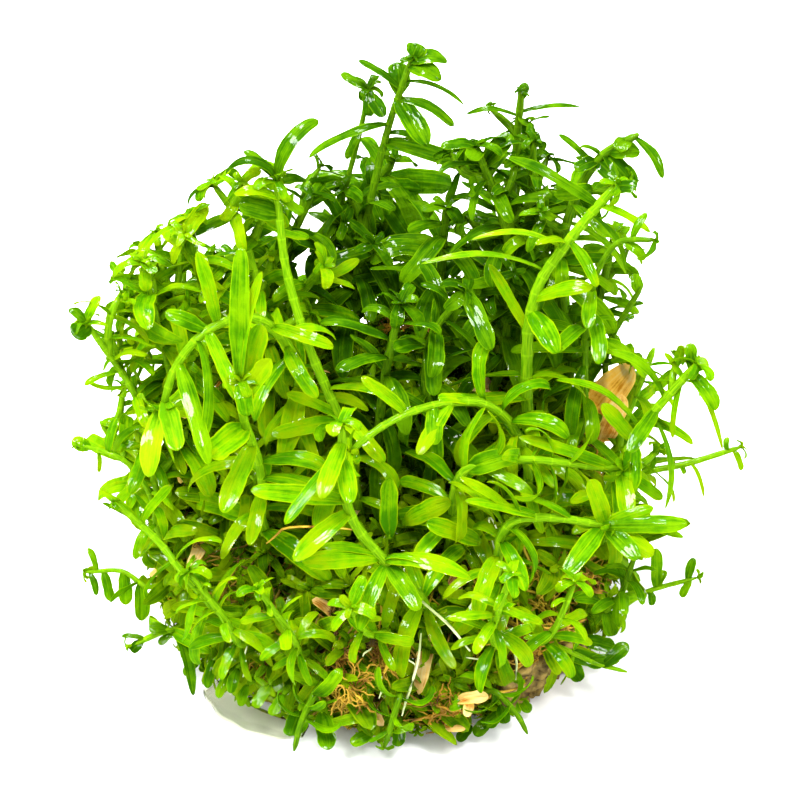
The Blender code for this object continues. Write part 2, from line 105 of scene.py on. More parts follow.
LEAF_ARCHES = (25, 90)  # degrees that a leaf bends over on its way to its end
LEAF_TWISTS = (-40, 40)  # degrees that it turns about itself
YOUNG = 0.55  # length of the last pair of leaves beside a full-grown pair
CROWDING = 0.85  # under 1, the pairs come closer together towards the tip
CLEARANCE = 0.2 * MM
QUARTER = math.pi / 2

# How a leaf may turn, tilt and shrink, in order of preference, to miss what is there already.
TURNS = [math.radians(a) for a in (0, 16, -16, 32, -32)]
TILTS = [math.radians(a) for a in (0, 14, -14, 28)]
SIZES = (1, 0.85, 0.7, 0.5)
CELL = 6 * MM  # side of the cells in which obstacles are looked up

# How far a stem that meets another may be moved aside: these reaches, each tried all round.
NUDGES = (1.2 * MM, 2.2 * MM, 3.2 * MM, 4.5 * MM)
NUDGE_WAYS = 8
NUDGE_RISE = 0.3

# Each shoot: its pairs of leaves, a full-grown leaf's length, the bare share of its stem and its route, in
# millimetres. The route starts inside the cushion, and the shoot where the route leaves it.
Shoot = namedtuple("Shoot", "name pairs leaf bare route")
SHOOTS = [
    Shoot("back_tall", 8, 10, 0.15, [(-5, 12, 20), (-2.5, 16, 46), (0.5, 18, 60), (3.5, 18, 70.5)]),
    Shoot("back_thin", 5, 8.5, 0.25, [(-9, 16, 19), (-6, 20, 45), (-3, 21, 58), (-2, 21, 64)]),
    Shoot("left_tall", 6, 10.5, 0.3, [(-3, -9, 20), (-5, -8, 33), (-9, -4, 42), (-12, 1, 51), (-13, 4, 62)]),
    Shoot("left_branch", 5, 9, 0.25, [(-13, 5, 20), (-15, 4, 42), (-18, 8, 53), (-21, 9, 58)]),
    Shoot("left_whorl", 5, 9, 0.2, [(-20, 4, 18), (-26, 3, 40), (-24, 5, 56)]),
    Shoot("left_curl", 5, 8, 0.2, [(-22, -1, 17), (-27, 0, 38), (-29.5, 1, 52)]),
    Shoot("left_far", 5, 7.5, 0.35, [(-26, -5, 15), (-30, -5, 34), (-36, -6, 48)]),
    Shoot("left_arm", 4, 6.5, 0.3, [(-25, -9, 13), (-29, -9, 23), (-32, -8, 28), (-38, -7, 30)]),
    Shoot("left_reach", 4, 8, 0.3, [(-18, -21, 14), (-24, -22, 21), (-28, -19, 25), (-33, -17, 29)]),
    Shoot("left_low_arm", 3, 5.5, 0.25, [(-27, -10, 9), (-33, -9, 11), (-38, -8, 10)]),
    Shoot("left_ground", 3, 6.5, 0.2, [(-22, -15, 8), (-27, -19, 10), (-32, -20, 8)]),
    Shoot(
        "left_arch", 6, 10, 0.4, [(-8, -3, 20), (-10, -5, 42), (-15, -8, 50), (-22, -12, 49), (-26, -15, 42)]
    ),
    Shoot("left_wet", 5, 10.5, 0.3, [(-14, -13, 19), (-15, -15, 32), (-17, -17, 43), (-17, -17.5, 48)]),
    Shoot("centre_arch", 6, 9, 0.25, [(17, -7, 19), (16, -8, 33), (12, -9, 38), (2, -14, 40), (-4, -17, 37)]),
    Shoot("front_main", 6, 10.5, 0.1, [(5, -22, 16), (3, -27, 24), (-4, -25.5, 34), (-5, -22, 45)]),
    Shoot("hollow", 4, 9, 0.4, [(8, -2, 20), (5, -3, 36), (6, -1, 42), (10, 0, 48)]),
    Shoot("right_tall", 6, 10.5, 0.4, [(12, -2, 20), (13, -2, 36), (14, 1, 46), (19, 3, 54), (26, 5, 60)]),
    Shoot("back_right", 6, 9.5, 0.2, [(14, 18, 17), (16, 21, 46), (17, 22, 63)]),
    Shoot("back_dark", 6, 10, 0.2, [(9, 8, 20), (11, 10, 46), (9, 12, 61)]),
    Shoot("back_mid", 5, 9.5, 0.25, [(19, 13, 17), (18, 15, 46), (18.5, 15.5, 60)]),
    Shoot("right_back", 6, 10, 0.25, [(22, 8, 17), (22, 10, 48), (26, 11, 60), (31, 11, 64)]),
    Shoot("right_drop", 6, 9.5, 0.2, [(22, 1, 18), (24, 1, 46), (27, -1, 56), (32, -3, 58)]),
    Shoot("right_small", 4, 7, 0.35, [(26, 6, 13), (28, 7, 34), (32, 7, 44)]),
    Shoot("right_arm", 5, 9.5, 0.25, [(25, -11, 14), (27, -11, 23), (31.5, -9, 34), (38, -7, 42.5)]),
    Shoot("right_far", 4, 6.5, 0.3, [(27, -1, 12), (32, -1, 20), (38, -1, 22), (45, 0, 24)]),
    Shoot("right_front", 5, 9.5, 0.25, [(13, -19, 18), (15, -21, 29), (20, -20, 29), (27, -18, 26)]),
    Shoot("right_mid", 5, 9.5, 0.3, [(8, -14, 20), (9.5, -15, 32), (16, -14.5, 33.5), (29, -12, 30)]),
    Shoot("right_ground_arm", 3, 5.5, 0.3, [(27, -10, 7), (33, -9.5, 8), (39.5, -9, 10)]),
    Shoot("right_ground", 3, 5, 0.25, [(20, -20, 9), (26, -24, 9), (30, -24, 7.5)]),
    Shoot("right_low", 3, 7, 0.2, [(25, -15, 10), (29, -16.5, 13), (31, -16, 20)]),
    Shoot("front_right", 5, 8, 0.2, [(13, -24, 12), (13, -30, 19), (14, -33, 27), (15, -33, 31)]),
    Shoot("front_left", 4, 7, 0.2, [(-16, -23, 11), (-19, -29, 20), (-23.5, -26.5, 26)]),
    Shoot("front_bud", 5, 6.5, 0.2, [(-9, -26, 12), (-11, -30.5, 19), (-15, -31, 27)]),
    Shoot("front_drop_left", 3, 7, 0.3, [(-7, -26, 9), (-8, -32.5, 12.5), (-10, -35, 9.5), (-11, -35.5, 5)]),
    Shoot("front_drop_mid", 3, 7, 0.3, [(1, -26, 8), (2, -32.5, 12), (1, -35, 9.5), (0, -35.5, 5.5)]),
    Shoot("front_drop_right", 3, 6.5, 0.3, [(9, -26, 7), (13, -31, 11), (16, -32.5, 8.5), (17.5, -32.5, 5)]),
    Shoot("front_middle", 4, 7.5, 0.2, [(0, -26, 16), (-2, -31, 20), (-4, -33, 26)]),
    Shoot("front_shelf", 4, 7.5, 0.2, [(18, -23, 12), (21, -27, 18), (23, -26, 24)]),
    Shoot("centre_top", 4, 10.5, 0.25, [(-1, 3, 20), (0, 2, 38), (2, 1, 48)]),
    Shoot("centre_left", 4, 10.5, 0.25, [(-9, 8, 20), (-9, 6, 38), (-6, 4, 48)]),
    Shoot("centre_back", 4, 10.5, 0.25, [(2, 12, 20), (4, 11, 42), (6, 11, 52)]),
    Shoot("back_left", 5, 10, 0.25, [(-15, 14, 18), (-14, 14, 40), (-9, 14, 53)]),
]

# The shoots behind, which the front hides, follow a rule: they stand round the back and lean outwards.
REAR_FROM = math.radians(8)
REAR_TO = math.radians(172)
REAR_COUNT = 9
REAR_ROOT = 24 * MM
REAR_LEAN = 10 * MM
REAR_HEIGHTS = (36 * MM, 46 * MM, 24 * MM)  # taken in turn
REAR_PAIRS = 3
REAR_LEAF = 9
REAR_BARE = 0.25
TURN_STEP = 0.37  # how far each shoot's pairs are turned from those of the one before, in quarter turns

# The camera looks along +Y and down at the clump.
CAMERA_TARGET = Vector((1.9, 15.3, 19.5)) * MM
CAMERA_DISTANCE = 500 * MM
CAMERA_ELEVATION = math.radians(38)
FRAME_WIDTH = 103.9 * MM  # what the picture covers at the target
PICTURE = 800  # pixels across
SENSOR = 36

# The fine stems and leaves.
STEM_SIDES = 10
SMALL_STEM_SIDES = 6
SMALL_STEM_STEP = 1.4 * MM
SMALL_STEM_SHARE = 0.085  # a small stem's radius over the length of its leaves
SMALL_BEND = 0.16
STEM_STEP = 0.9 * MM
STEM_DEPTH = 9 * MM  # how far a long stem goes on into the undergrowth
NODE_SWELL = 0.16
NODE_REACH = 0.7 * MM
LEAF_ROWS = 12
SMALL_ROWS = 9
TINY_ROWS = 7
LEAF_ACROSS = (-1, -0.55, 0, 0.55, 1)
SMALL_ACROSS = (-1, 0, 1)
BLADE_THICKNESS = 0.24 * MM
FOLDS = ((0.2, 0.7), (-0.45, -0.1), (-0.1, 0.2))  # creased, cupped or nearly flat
HOOKS = (-0.4, 1.2)  # how much more a leaf bends towards its tip
WAVES = (0.03, 0.22)
BLUNTNESS = (1.7, 2.6)
LEAST_WIDTH = 0.05
LEAF_WIDTHS = (0.7, 0.95)
SMALL_WIDTHS = (0.78, 1.05)
PETIOLE = 0.34  # width of a leaf's foot beside its widest
RIM_AT = 0.485  # how far from the middle of its texture a leaf's rim is
FLOOR_GAP = 0.15 * MM
GEL_TUCKED = 1.6 * MM  # how far the gel reaches in under the leaves
BARK = (540, 670), (42, 20), 26  # the flake on the mat: its middle, reach and slant, in pixels
SPRIG_HEIGHTS = {"": 7 * MM, "foot": 2.5 * MM}
SPRIG_RADIUS = 0.6 * MM
ROSETTE = ((4.0, 82), (3.4, 62), (2.8, 42), (2.0, 20))  # a tip's young leaves: length in millimetres, angle
EXTRA_GAP = 2.9 * MM  # a stem bears a further pair wherever its pairs are further apart than this
GOLDEN = 2.39996  # the angle that spreads points evenly round a middle

# The small shoots of the undergrowth, from its foot to its crown: how many, the levels between which their
# tips are, how long they are, their leaves' lengths and pairs, and how much they rise.
Tier = namedtuple("Tier", "name count low high reach leaf pairs lift")
TIERS = [
    Tier("skirt", 230, 1.2, 9, (5, 8), (4.5, 6.5), (3, 4), -0.1),
    Tier("side", 150, 8, 22, (8, 12), (7, 10), (3, 4), 0.4),
]
CROWN = Tier("crown", 150, 20, 40, (11, 18), (8.5, 11.5), (4, 5), 1.0)
CROWN_REACH = 28 * MM
LOWEST_CROWN_ROOT = 6 * MM
LOWEST_TIP = 1.2 * MM
ABOVE_ALL = 60  # a height in millimetres

# Leaves with places of their own, by the shoot that bears them: the pixels where the camera sees a leaf's
# foot and its tip, its width, how far it arches over, how far its face is turned up from the camera, in
# degrees, how much nearer than its foot its tip is, in millimetres, and its kind. Those of "" and "foot"
# stand on short stems of their own out of the undergrowth.
# A leaf's kind picks its material; the two darker green kinds are the lit leaf painted darker, as shade.
LIT, STEM, SHADED, PALE, DEAD, HALF_SHADED = range(6)
TOLD_WIDTH = 0.85
Told = namedtuple("Told", "across down tip_across tip_down width arch face near kind")
TOLD_ROWS = {
    "back_tall": (
        (392, 124, 306, 158, 16, 50, 50, 0, SHADED), (386, 145, 482, 170, 22, 30, 25, 2, SHADED),
        (406, 103, 428, 147, 26, 20, 10, 3, SHADED), (408, 100, 456, 126, 16, 60, 50, 0, SHADED),
        (410, 85, 466, 105, 10, 70, 50, 0, SHADED), (405, 98, 397, 61, 25, 30, 20, 0, SHADED),
        (400, 88, 357, 59, 12, 40, 50, 0, SHADED), (388, 132, 416, 140, 10, 90, 50, 0, SHADED),
        (413, 57, 419, 43, 24, 30, 10, 0, SHADED), (413, 60, 448, 60, 26, 80, 40, 0, SHADED),
        (411, 64, 442, 80, 22, 60, 20, 2, SHADED),
    ),
    "back_thin": (
        (368, 80, 340, 73, 13, 20, 20, 0, SHADED), (368, 92, 384, 118, 17, 30, 20, 2, SHADED),
        (362, 130, 346, 160, 11, 30, 30, 0, LIT), (348, 172, 298, 190, 24, 30, 20, 0, LIT),
        (347, 182, 303, 212, 12, 40, 50, 0, LIT),
    ),
    "left_tall": (
        (274, 182, 318, 118, 18, 115, 30, 0, SHADED), (277, 180, 226, 172, 14, 170, 45, 0, SHADED),
        (276, 176, 243, 150, 15, 60, 40, 0, SHADED), (279, 195, 233, 193, 18, 70, 40, 2, LIT),
        (280, 212, 238, 203, 24, 30, 10, 2, SHADED), (279, 200, 304, 214, 14, 30, 40, 0, SHADED),
        (337, 420, 269, 435, 18, 30, 15, 5, LIT), (336, 418, 285, 393, 13, 30, 30, 4, LIT),
        (328, 390, 408, 406, 13, 70, 50, 4, LIT),
    ),
    "left_branch": (
        (236, 215, 186, 236, 17, 25, 30, 2, SHADED), (215, 188, 187, 206, 8, 130, 50, 0, SHADED),
        (214, 186, 231, 168, 10, 60, 50, 0, LIT),
    ),
    "left_whorl": (
        (188, 218, 211, 204, 9, 40, 50, 0, SHADED), (187, 224, 143, 264, 10, 110, 50, 0, LIT),
        (186, 226, 194, 256, 16, 20, 10, 2, SHADED),
    ),
    "left_curl": (
        (143, 264, 112, 277, 11, 130, 50, 0, LIT), (144, 268, 146, 292, 14, 30, 10, 0, LIT),
        (155, 300, 120, 316, 13, 50, 40, 0, LIT),
    ),
    "left_far": (
        (89, 324, 72, 336, 23, 40, 10, 2, SHADED), (88, 323, 69, 308, 14, 70, 30, 0, SHADED),
        (89, 322, 100, 295, 14, 60, 30, 0, LIT), (128, 384, 86, 381, 7, -80, 50, 0, LIT),
        (112, 358, 103, 371, 8, 40, 50, 0, LIT),
    ),
    "left_arm": (
        (98, 448, 99, 473, 7, 30, 50, 0, LIT), (108, 452, 117, 416, 14, 40, 40, 0, LIT),
        (92, 443, 71, 440, 16, 30, 10, 0, LIT),
    ),
    "left_reach": (
        (140, 525, 99, 489, 10, 25, 50, 0, LIT), (138, 524, 101, 502, 7, 20, 50, 0, SHADED),
        (141, 524, 172, 484, 12, 30, 40, 2, LIT),
    ),
    "left_arch": (
        (166, 403, 178, 452, 22, 30, 10, 5, PALE), (172, 425, 148, 479, 24, 50, 20, 3, PALE),
        (182, 366, 210, 468, 19, 35, 10, 5, HALF_SHADED), (205, 345, 203, 446, 14, 60, 50, 3, HALF_SHADED),
        (208, 335, 238, 403, 17, 30, 15, 5, LIT), (212, 334, 164, 312, 18, 30, 20, 2, HALF_SHADED),
        (216, 315, 197, 249, 16, 30, 10, 3, LIT),
    ),
    "left_wet": (
        (243, 398, 262, 322, 25, 25, 5, 3, LIT), (243, 402, 272, 358, 21, 30, 10, 5, LIT),
        (250, 425, 207, 457, 29, 30, 10, 5, LIT), (243, 325, 241, 243, 22, 30, 5, 3, HALF_SHADED),
        (250, 330, 262, 268, 14, 40, 30, 3, LIT), (252, 445, 222, 515, 23, 30, 10, 5, LIT),
    ),
    "front_main": (
        (343, 440, 320, 500, 20, 30, 10, 5, LIT), (342, 455, 283, 526, 14, 30, 30, 4, LIT),
        (343, 460, 350, 505, 20, 30, 10, 4, LIT), (352, 512, 292, 562, 21, 35, 20, 5, LIT),
        (350, 500, 248, 490, 21, 20, 15, 4, LIT), (383, 557, 300, 562, 21, 20, 10, 5, LIT),
        (380, 552, 318, 545, 13, 30, 40, 3, LIT), (388, 558, 473, 577, 22, 70, 40, 3, LIT),
        (386, 556, 434, 566, 11, 80, 50, 3, LIT), (386, 562, 358, 632, 18, 40, 20, 3, LIT),
        (388, 562, 420, 612, 20, 40, 20, 3, HALF_SHADED),
    ),
    "centre_arch": (
        (432, 408, 434, 446, 19, 25, 5, 3, HALF_SHADED), (452, 403, 417, 456, 17, 30, 20, 5, LIT),
        (470, 403, 437, 398, 14, 40, 40, 2, LIT), (405, 414, 360, 376, 14, 30, 20, 2, LIT),
    ),
    "": (
        (390, 533, 390, 476, 22, 30, 15, 2, LIT), (405, 520, 452, 500, 22, 50, 15, 3, LIT),
        (398, 512, 470, 520, 26, 50, 15, 2, HALF_SHADED), (478, 540, 425, 522, 20, 40, 15, 4, LIT),
        (600, 412, 634, 366, 40, 40, 10, 9, DEAD), (606, 436, 622, 394, 26, 40, -10, 12, DEAD),
    ),
    "right_arm": (
        (634, 442, 601, 403, 17, 30, 10, 3, LIT), (662, 460, 631, 492, 26, 30, 20, 2, LIT),
        (655, 408, 628, 454, 18, 20, 10, 3, HALF_SHADED), (664, 400, 605, 349, 14, 95, 50, 0, HALF_SHADED),
        (640, 430, 555, 377, 13, 80, 50, 2, LIT), (690, 372, 717, 411, 19, 60, 30, 2, HALF_SHADED),
        (652, 415, 667, 511, 10, 70, 50, 3, HALF_SHADED), (685, 378, 664, 352, 9, 30, 30, 0, LIT),
        (692, 370, 690, 342, 14, 30, 10, 0, HALF_SHADED), (694, 368, 709, 362, 15, 30, 10, 0, LIT),
        (694, 370, 724, 452, 9, 25, 50, 0, LIT), (684, 378, 672, 440, 9, 30, 50, -2, LIT),
    ),
    "foot": (
        (458, 700, 489, 697, 14, 70, 30, 2, DEAD), (468, 696, 466, 717, 13, 60, -20, 2, DEAD),
        (440, 728, 466, 729, 8, 50, 30, 1, DEAD), (418, 742, 436, 745, 8, 50, 30, 1, DEAD),
        (256, 676, 276, 697, 8, 50, 30, 1, PALE), (238, 668, 230, 694, 14, 40, 20, 1, HALF_SHADED),
        (270, 684, 254, 708, 13, 40, 20, 1, HALF_SHADED), (565, 655, 581, 682, 19, 30, 10, 1, SHADED),
        (556, 678, 572, 692, 14, 30, 10, 1, HALF_SHADED), (542, 690, 552, 706, 14, 30, 20, 1, LIT),
        (520, 698, 530, 713, 13, 30, 10, 1, HALF_SHADED), (500, 704, 506, 724, 15, 30, 10, 1, SHADED),
        (490, 716, 474, 736, 15, 30, 10, 1, SHADED), (214, 660, 207, 689, 14, 30, 20, 1, HALF_SHADED),
        (228, 672, 218, 699, 12, 40, 30, 1, LIT), (248, 684, 240, 707, 12, 40, 20, 1, HALF_SHADED),
        (284, 694, 270, 716, 13, 30, 20, 1, HALF_SHADED), (200, 656, 184, 676, 12, 30, 20, 1, SHADED),
        (440, 735, 420, 746, 14, 40, 20, 1, HALF_SHADED), (470, 724, 458, 742, 14, 40, 20, 1, SHADED),
        (506, 706, 486, 727, 15, 30, 10, 2, SHADED), (512, 700, 516, 716, 14, 30, 10, 1, HALF_SHADED),
        (372, 732, 350, 744, 15, 40, 20, 1, HALF_SHADED), (400, 728, 398, 747, 16, 40, 20, 1, SHADED),
        (328, 722, 372, 716, 12, 30, 10, 1, PALE), (300, 710, 290, 737, 21, 20, 10, 4, SHADED),
        (322, 712, 329, 751, 21, 20, 10, 4, SHADED), (495, 722, 474, 741, 17, 20, 10, 4, SHADED),
        (582, 638, 616, 648, 18, 20, 10, 0, SHADED), (566, 652, 606, 664, 18, 20, 10, 0, SHADED),
    ),
    "left_low_arm": (
        (97, 572, 88, 547, 9, 40, 40, 0, HALF_SHADED), (90, 575, 97, 596, 9, 60, 30, 0, HALF_SHADED),
        (104, 577, 111, 602, 12, 30, 20, 0, HALF_SHADED), (122, 576, 126, 606, 16, 30, 20, 0, HALF_SHADED),
        (142, 582, 142, 622, 18, 30, 20, 0, HALF_SHADED),
    ),
    "left_ground": (
        (145, 640, 121, 636, 7, 60, 40, 0, SHADED), (142, 640, 131, 652, 12, 30, 10, 0, SHADED),
        (184, 664, 159, 645, 10, 40, 30, 1, SHADED), (168, 628, 148, 628, 14, 40, 30, 1, SHADED),
        (176, 630, 194, 697, 13, 40, 30, 7, SHADED),
    ),
    "right_ground_arm": (
        (688, 580, 694, 557, 11, 30, 20, 0, HALF_SHADED), (690, 580, 681, 598, 10, 30, 20, 0, HALF_SHADED),
        (656, 586, 666, 570, 11, 50, 30, 0, HALF_SHADED), (648, 588, 652, 606, 10, 50, 30, 0, HALF_SHADED),
        (655, 582, 656, 547, 15, 30, 10, 1, HALF_SHADED),
    ),
    "right_ground": (
        (590, 657, 621, 659, 13, 30, 10, 0, SHADED), (604, 662, 629, 643, 17, 30, 10, 0, SHADED),
    ),
    "right_low": (
        (626, 600, 619, 628, 12, 90, 40, 0, HALF_SHADED), (606, 612, 612, 637, 17, 40, 20, 0, SHADED),
    ),
    "right_front": (
        (640, 552, 686, 537, 11, 50, 40, 0, HALF_SHADED), (612, 578, 655, 556, 22, 30, 20, 2, LIT),
        (540, 518, 463, 500, 14, 25, 40, 4, LIT), (520, 516, 458, 476, 12, 30, 40, 3, LIT),
        (575, 520, 519, 493, 10, 40, 40, 4, LIT), (600, 526, 690, 524, 20, 20, 10, 3, HALF_SHADED),
        (604, 526, 655, 507, 15, 30, 20, 2, LIT), (602, 527, 565, 575, 22, 30, 10, 4, LIT),
        (606, 526, 590, 478, 20, 30, 10, 3, LIT), (606, 526, 640, 560, 20, 30, 10, 4, HALF_SHADED),
    ),
    "right_far": (
        (732, 451, 742, 471, 9, 50, 30, 0, LIT), (728, 452, 728, 437, 8, 110, 40, 0, LIT),
        (672, 425, 685, 474, 10, 50, 40, 0, LIT), (690, 464, 704, 498, 9, 60, 50, 0, LIT),
    ),
    "right_back": (
        (612, 165, 636, 190, 22, 40, 20, 0, SHADED), (614, 158, 641, 152, 22, 60, 20, 1, SHADED),
        (604, 165, 616, 180, 20, 40, 10, 2, SHADED), (600, 160, 574, 170, 16, 50, 30, 1, SHADED),
        (630, 142, 616, 150, 18, 50, 30, 1, SHADED), (595, 165, 558, 133, 11, 30, 40, 0, SHADED),
        (605, 158, 579, 147, 10, 110, 50, 0, SHADED), (636, 140, 664, 179, 13, 60, 40, 2, SHADED),
    ),
    "right_drop": (
        (618, 236, 646, 260, 12, 60, 30, 0, HALF_SHADED), (630, 234, 647, 212, 10, 50, 30, 0, HALF_SHADED),
        (595, 290, 588, 330, 16, 30, 20, 3, LIT),
    ),
    "right_small": (
        (636, 292, 635, 273, 15, 30, 10, 0, HALF_SHADED), (622, 318, 635, 316, 8, 30, 30, 0, HALF_SHADED),
        (628, 302, 644, 303, 7, 30, 30, 0, SHADED),
    ),
    "back_mid": (
        (530, 150, 530, 122, 15, 40, 30, 0, LIT),
    ),
    "hollow": (
        (440, 332, 434, 398, 22, 30, 10, 3, SHADED), (470, 290, 492, 352, 20, 30, 10, 3, SHADED),
    ),
    "right_mid": (
        (462, 462, 522, 452, 24, 40, 15, 3, HALF_SHADED), (480, 464, 535, 496, 14, 40, 30, 2, HALF_SHADED),
        (615, 468, 516, 436, 16, 25, 30, 4, LIT), (618, 468, 664, 500, 14, 30, 20, -2, LIT),
        (620, 468, 628, 520, 20, 30, 10, 3, LIT),
    ),
    "right_tall": (
        (527, 312, 558, 354, 25, 50, 10, 5, LIT), (527, 330, 488, 262, 12, 20, 10, 3, LIT),
        (532, 300, 594, 286, 17, 60, 30, 4, LIT), (545, 270, 418, 262, 9, 60, 50, 4, PALE),
        (560, 250, 470, 238, 12, 70, 50, 3, PALE), (565, 245, 535, 244, 10, 90, 50, 3, LIT),
        (570, 238, 598, 288, 14, 40, 30, 2, LIT), (592, 212, 628, 272, 10, 70, 50, 2, SHADED),
        (600, 205, 652, 233, 14, 50, 40, 2, LIT), (598, 205, 505, 155, 16, 30, 30, 0, SHADED),
        (612, 188, 638, 186, 18, 50, 30, 2, SHADED),
    ),
    "back_right": (
        (519, 115, 465, 113, 9, 65, 50, 0, LIT), (519, 114, 582, 106, 10, 40, 50, 0, LIT),
        (520, 98, 526, 82, 12, 20, 10, 0, SHADED),
    ),
    "back_dark": (
        (480, 165, 512, 133, 22, 30, 10, 0, SHADED), (477, 150, 440, 146, 15, 80, 40, 2, LIT),
        (477, 148, 470, 160, 20, 50, 10, 3, SHADED),
    ),
}
TOLD = {name: [Told(*row) for row in rows] for name, rows in TOLD_ROWS.items()}

# How far up its stem each shoot bears leaves by its own rule. Above that, they have places of their own.
RULED = {
    "back_tall": 0.35, "back_thin": 0.35, "left_tall": 0.3, "left_branch": 0.9, "left_whorl": 0.9,
    "left_curl": 0.9, "left_far": 0.85, "left_wet": 0.5, "left_arch": 0.55, "front_main": 0.1,
    "centre_arch": 0.5, "right_front": 0.6, "right_tall": 0.35, "right_back": 0.75, "back_right": 0.65,
    "right_arm": 0.45, "right_mid": 0.8, "left_arm": 0.45, "left_reach": 0.6, "left_low_arm": 0.25,
    "left_ground": 0.3, "right_ground_arm": 0.25, "right_far": 0.35, "right_ground": 0.3,
    "right_drop": 0.6, "right_small": 0.7,
}

# How stout some stems are beside their solids, and then the others.
STOUT = {"right_tall": 1.05, "right_arm": 1.0, "back_tall": 0.75, "back_thin": 0.7, "right_drop": 0.65}
STOUTNESS = 0.87

# Where the root mat shows between the small shoots: the middle and the reach of each place, in pixels.
BARE = (
    (540, 668, 42, 36), (446, 712, 24, 17), (352, 690, 16, 14), (616, 394, 28, 32), (604, 442, 18, 16),
    (343, 656, 12, 11), (531, 650, 15, 14), (286, 346, 9, 9), (290, 560, 12, 10), (585, 583, 12, 10),
)

# The outline within which the camera sees the clump, in pixels, and the places where it looks in between the
# shoots: the middle and the reach of each, and how far behind the target it looks there, in millimetres.
OUTLINE = (
    (338, 62), (365, 56), (400, 42), (418, 36), (450, 54), (450, 78), (470, 104), (458, 128), (480, 138),
    (505, 132), (512, 116), (462, 114), (466, 100), (512, 104), (514, 84), (526, 80), (533, 97), (586, 99),
    (584, 113), (545, 118), (532, 123), (543, 140), (545, 153), (562, 150), (554, 132), (566, 130),
    (580, 146), (612, 150), (612, 138), (628, 133), (646, 148), (666, 180), (656, 184), (642, 183),
    (640, 200), (650, 208), (659, 240), (652, 262), (640, 272), (638, 286), (645, 304), (636, 320),
    (622, 328), (622, 344), (640, 352), (654, 370), (660, 348), (678, 348), (684, 342), (694, 338),
    (706, 358), (718, 400), (712, 416), (716, 432), (735, 435), (748, 438), (750, 470), (740, 473),
    (732, 458), (700, 468), (706, 498), (676, 492), (672, 508), (692, 518), (694, 530), (686, 546),
    (662, 562), (664, 571), (688, 572), (690, 555), (700, 557), (708, 572), (706, 581), (692, 588),
    (686, 600), (656, 598), (655, 608), (632, 612), (624, 630), (630, 642), (628, 655), (612, 666),
    (585, 666), (582, 682), (560, 702), (520, 713), (500, 730), (482, 743), (440, 749), (380, 749),
    (344, 744), (330, 756), (318, 748), (310, 722), (296, 739), (284, 737), (278, 718), (215, 703),
    (198, 699), (188, 694), (180, 670), (156, 648), (158, 640), (150, 636), (140, 652), (128, 652),
    (118, 634), (145, 628), (138, 610), (118, 608), (98, 602), (80, 582), (80, 570), (90, 566), (82, 548),
    (92, 543), (104, 560), (130, 564), (138, 546), (118, 522), (94, 494), (98, 486), (124, 492), (120, 480),
    (134, 468), (126, 454), (108, 454), (104, 476), (94, 474), (90, 452), (72, 452), (68, 438), (76, 427),
    (102, 434), (108, 416), (128, 412), (126, 402), (106, 392), (80, 387), (80, 377), (106, 374), (104, 350),
    (74, 342), (68, 325), (72, 302), (84, 294), (106, 303), (122, 300), (108, 284), (108, 264), (118, 250),
    (148, 232), (182, 213), (198, 206), (192, 190), (200, 178), (226, 165), (224, 155), (240, 145),
    (276, 146), (296, 124), (320, 114), (302, 145), (292, 165), (304, 168), (308, 153), (352, 128),
    (366, 118), (358, 96), (338, 78),
)
GAPS = (
    (616, 392, 26, 31, 0), (606, 440, 14, 13, 0), (299, 220, 12, 11, 90), (318, 206, 16, 6, 90),
    (165, 275, 8, 10, 90), (183, 277, 8, 10, 90), (220, 233, 15, 12, 90), (302, 265, 10, 16, 90),
    (581, 235, 11, 10, 90), (460, 207, 8, 8, 90), (605, 300, 9, 7, 90), (480, 158, 8, 8, 90),
    (396, 170, 16, 9, 90),
)
SURE_DOWN = 430  # the middle of a circle of pixels that is all inside the outline
SURE_REACH = 225
SHORTER = 0.75  # how far a leaf that doesn't belong is shortened at a time
SHORTEST = 0.3

# Short branches of the fuller shoots.
TWIGS = {
    "back_l": 7, "back_d": 8, "back_m": 8, "back_r": 7, "back_t": 3, "rear": 6, "left_branch": 6,
    "left_whorl": 6, "left_curl": 6, "left_far": 5, "right_back": 4, "right_arm": 4,
}
TWIGS_FROM = 0.08  # where along a stem they start, and over how much of it they go on
TWIGS_TO = 0.82
LOW_TWIGS = 0.35
TWIG_PAIRS = 3
LEAFIER = 1.2  # how much larger the leaves of those at the left are
TWIG_REACH = (4, 8)
TWIG_LEAF = (5.5, 8.5)
TWIG_ROOM = 3 * MM

# Roots that hang free: the shoot that each leaves, or none, where the camera sees it pass, how far it stands
# off the undergrowth, how thick it is, in millimetres, and its kind.
WHITE, TAN, RUST = range(3)
Strand = namedtuple("Strand", "shoot path lift radius kind")
STRANDS = [
    Strand("front_main", ((412, 592), (443, 617), (470, 648)), 6, 0.24, WHITE),
    Strand("", ((512, 637), (515, 658), (516, 678)), 2.5, 0.2, WHITE),
    Strand("", ((422, 632), (418, 655), (410, 690), (402, 714)), 2.5, 0.24, WHITE),
    Strand("", ((362, 655), (372, 646)), 2.5, 0.15, WHITE),
    Strand("", ((405, 655), (415, 664)), 2.5, 0.15, WHITE),
    Strand("", ((466, 656), (484, 659)), 2.5, 0.15, WHITE),
    Strand("", ((382, 675), (380, 697)), 2.5, 0.15, WHITE),
    Strand("", ((247, 645), (243, 680)), 2.5, 0.18, WHITE),
    Strand("right_front", ((480, 500), (497, 530)), 5, 0.16, WHITE),
    Strand("front_main", ((308, 518), (285, 526), (268, 542)), 6, 0.2, TAN),
    Strand("", ((379, 651), (390, 660), (383, 672)), 2.5, 0.35, TAN),
    Strand("", ((392, 588), (408, 596), (425, 590)), 3, 0.16, WHITE),
]
STRAND_STEPS = 12
STRAND_SHARE = 0.75
TANGLE_STRANDS = 50
TANGLE_POINTS = 9
TANGLE_STEP = 1.5 * MM
TANGLE_RADII = (0.06, 0.16)
FIBRES = 900  # roots that wander over the mat's side
FIBRE_STEPS = 12
FIBRE_RADII = (0.07, 0.2)
OTHER = 2  # a small shoot's odd leaf: dead in the undergrowth, deep green on a long shoot
OTHER_SHARE = 0.03

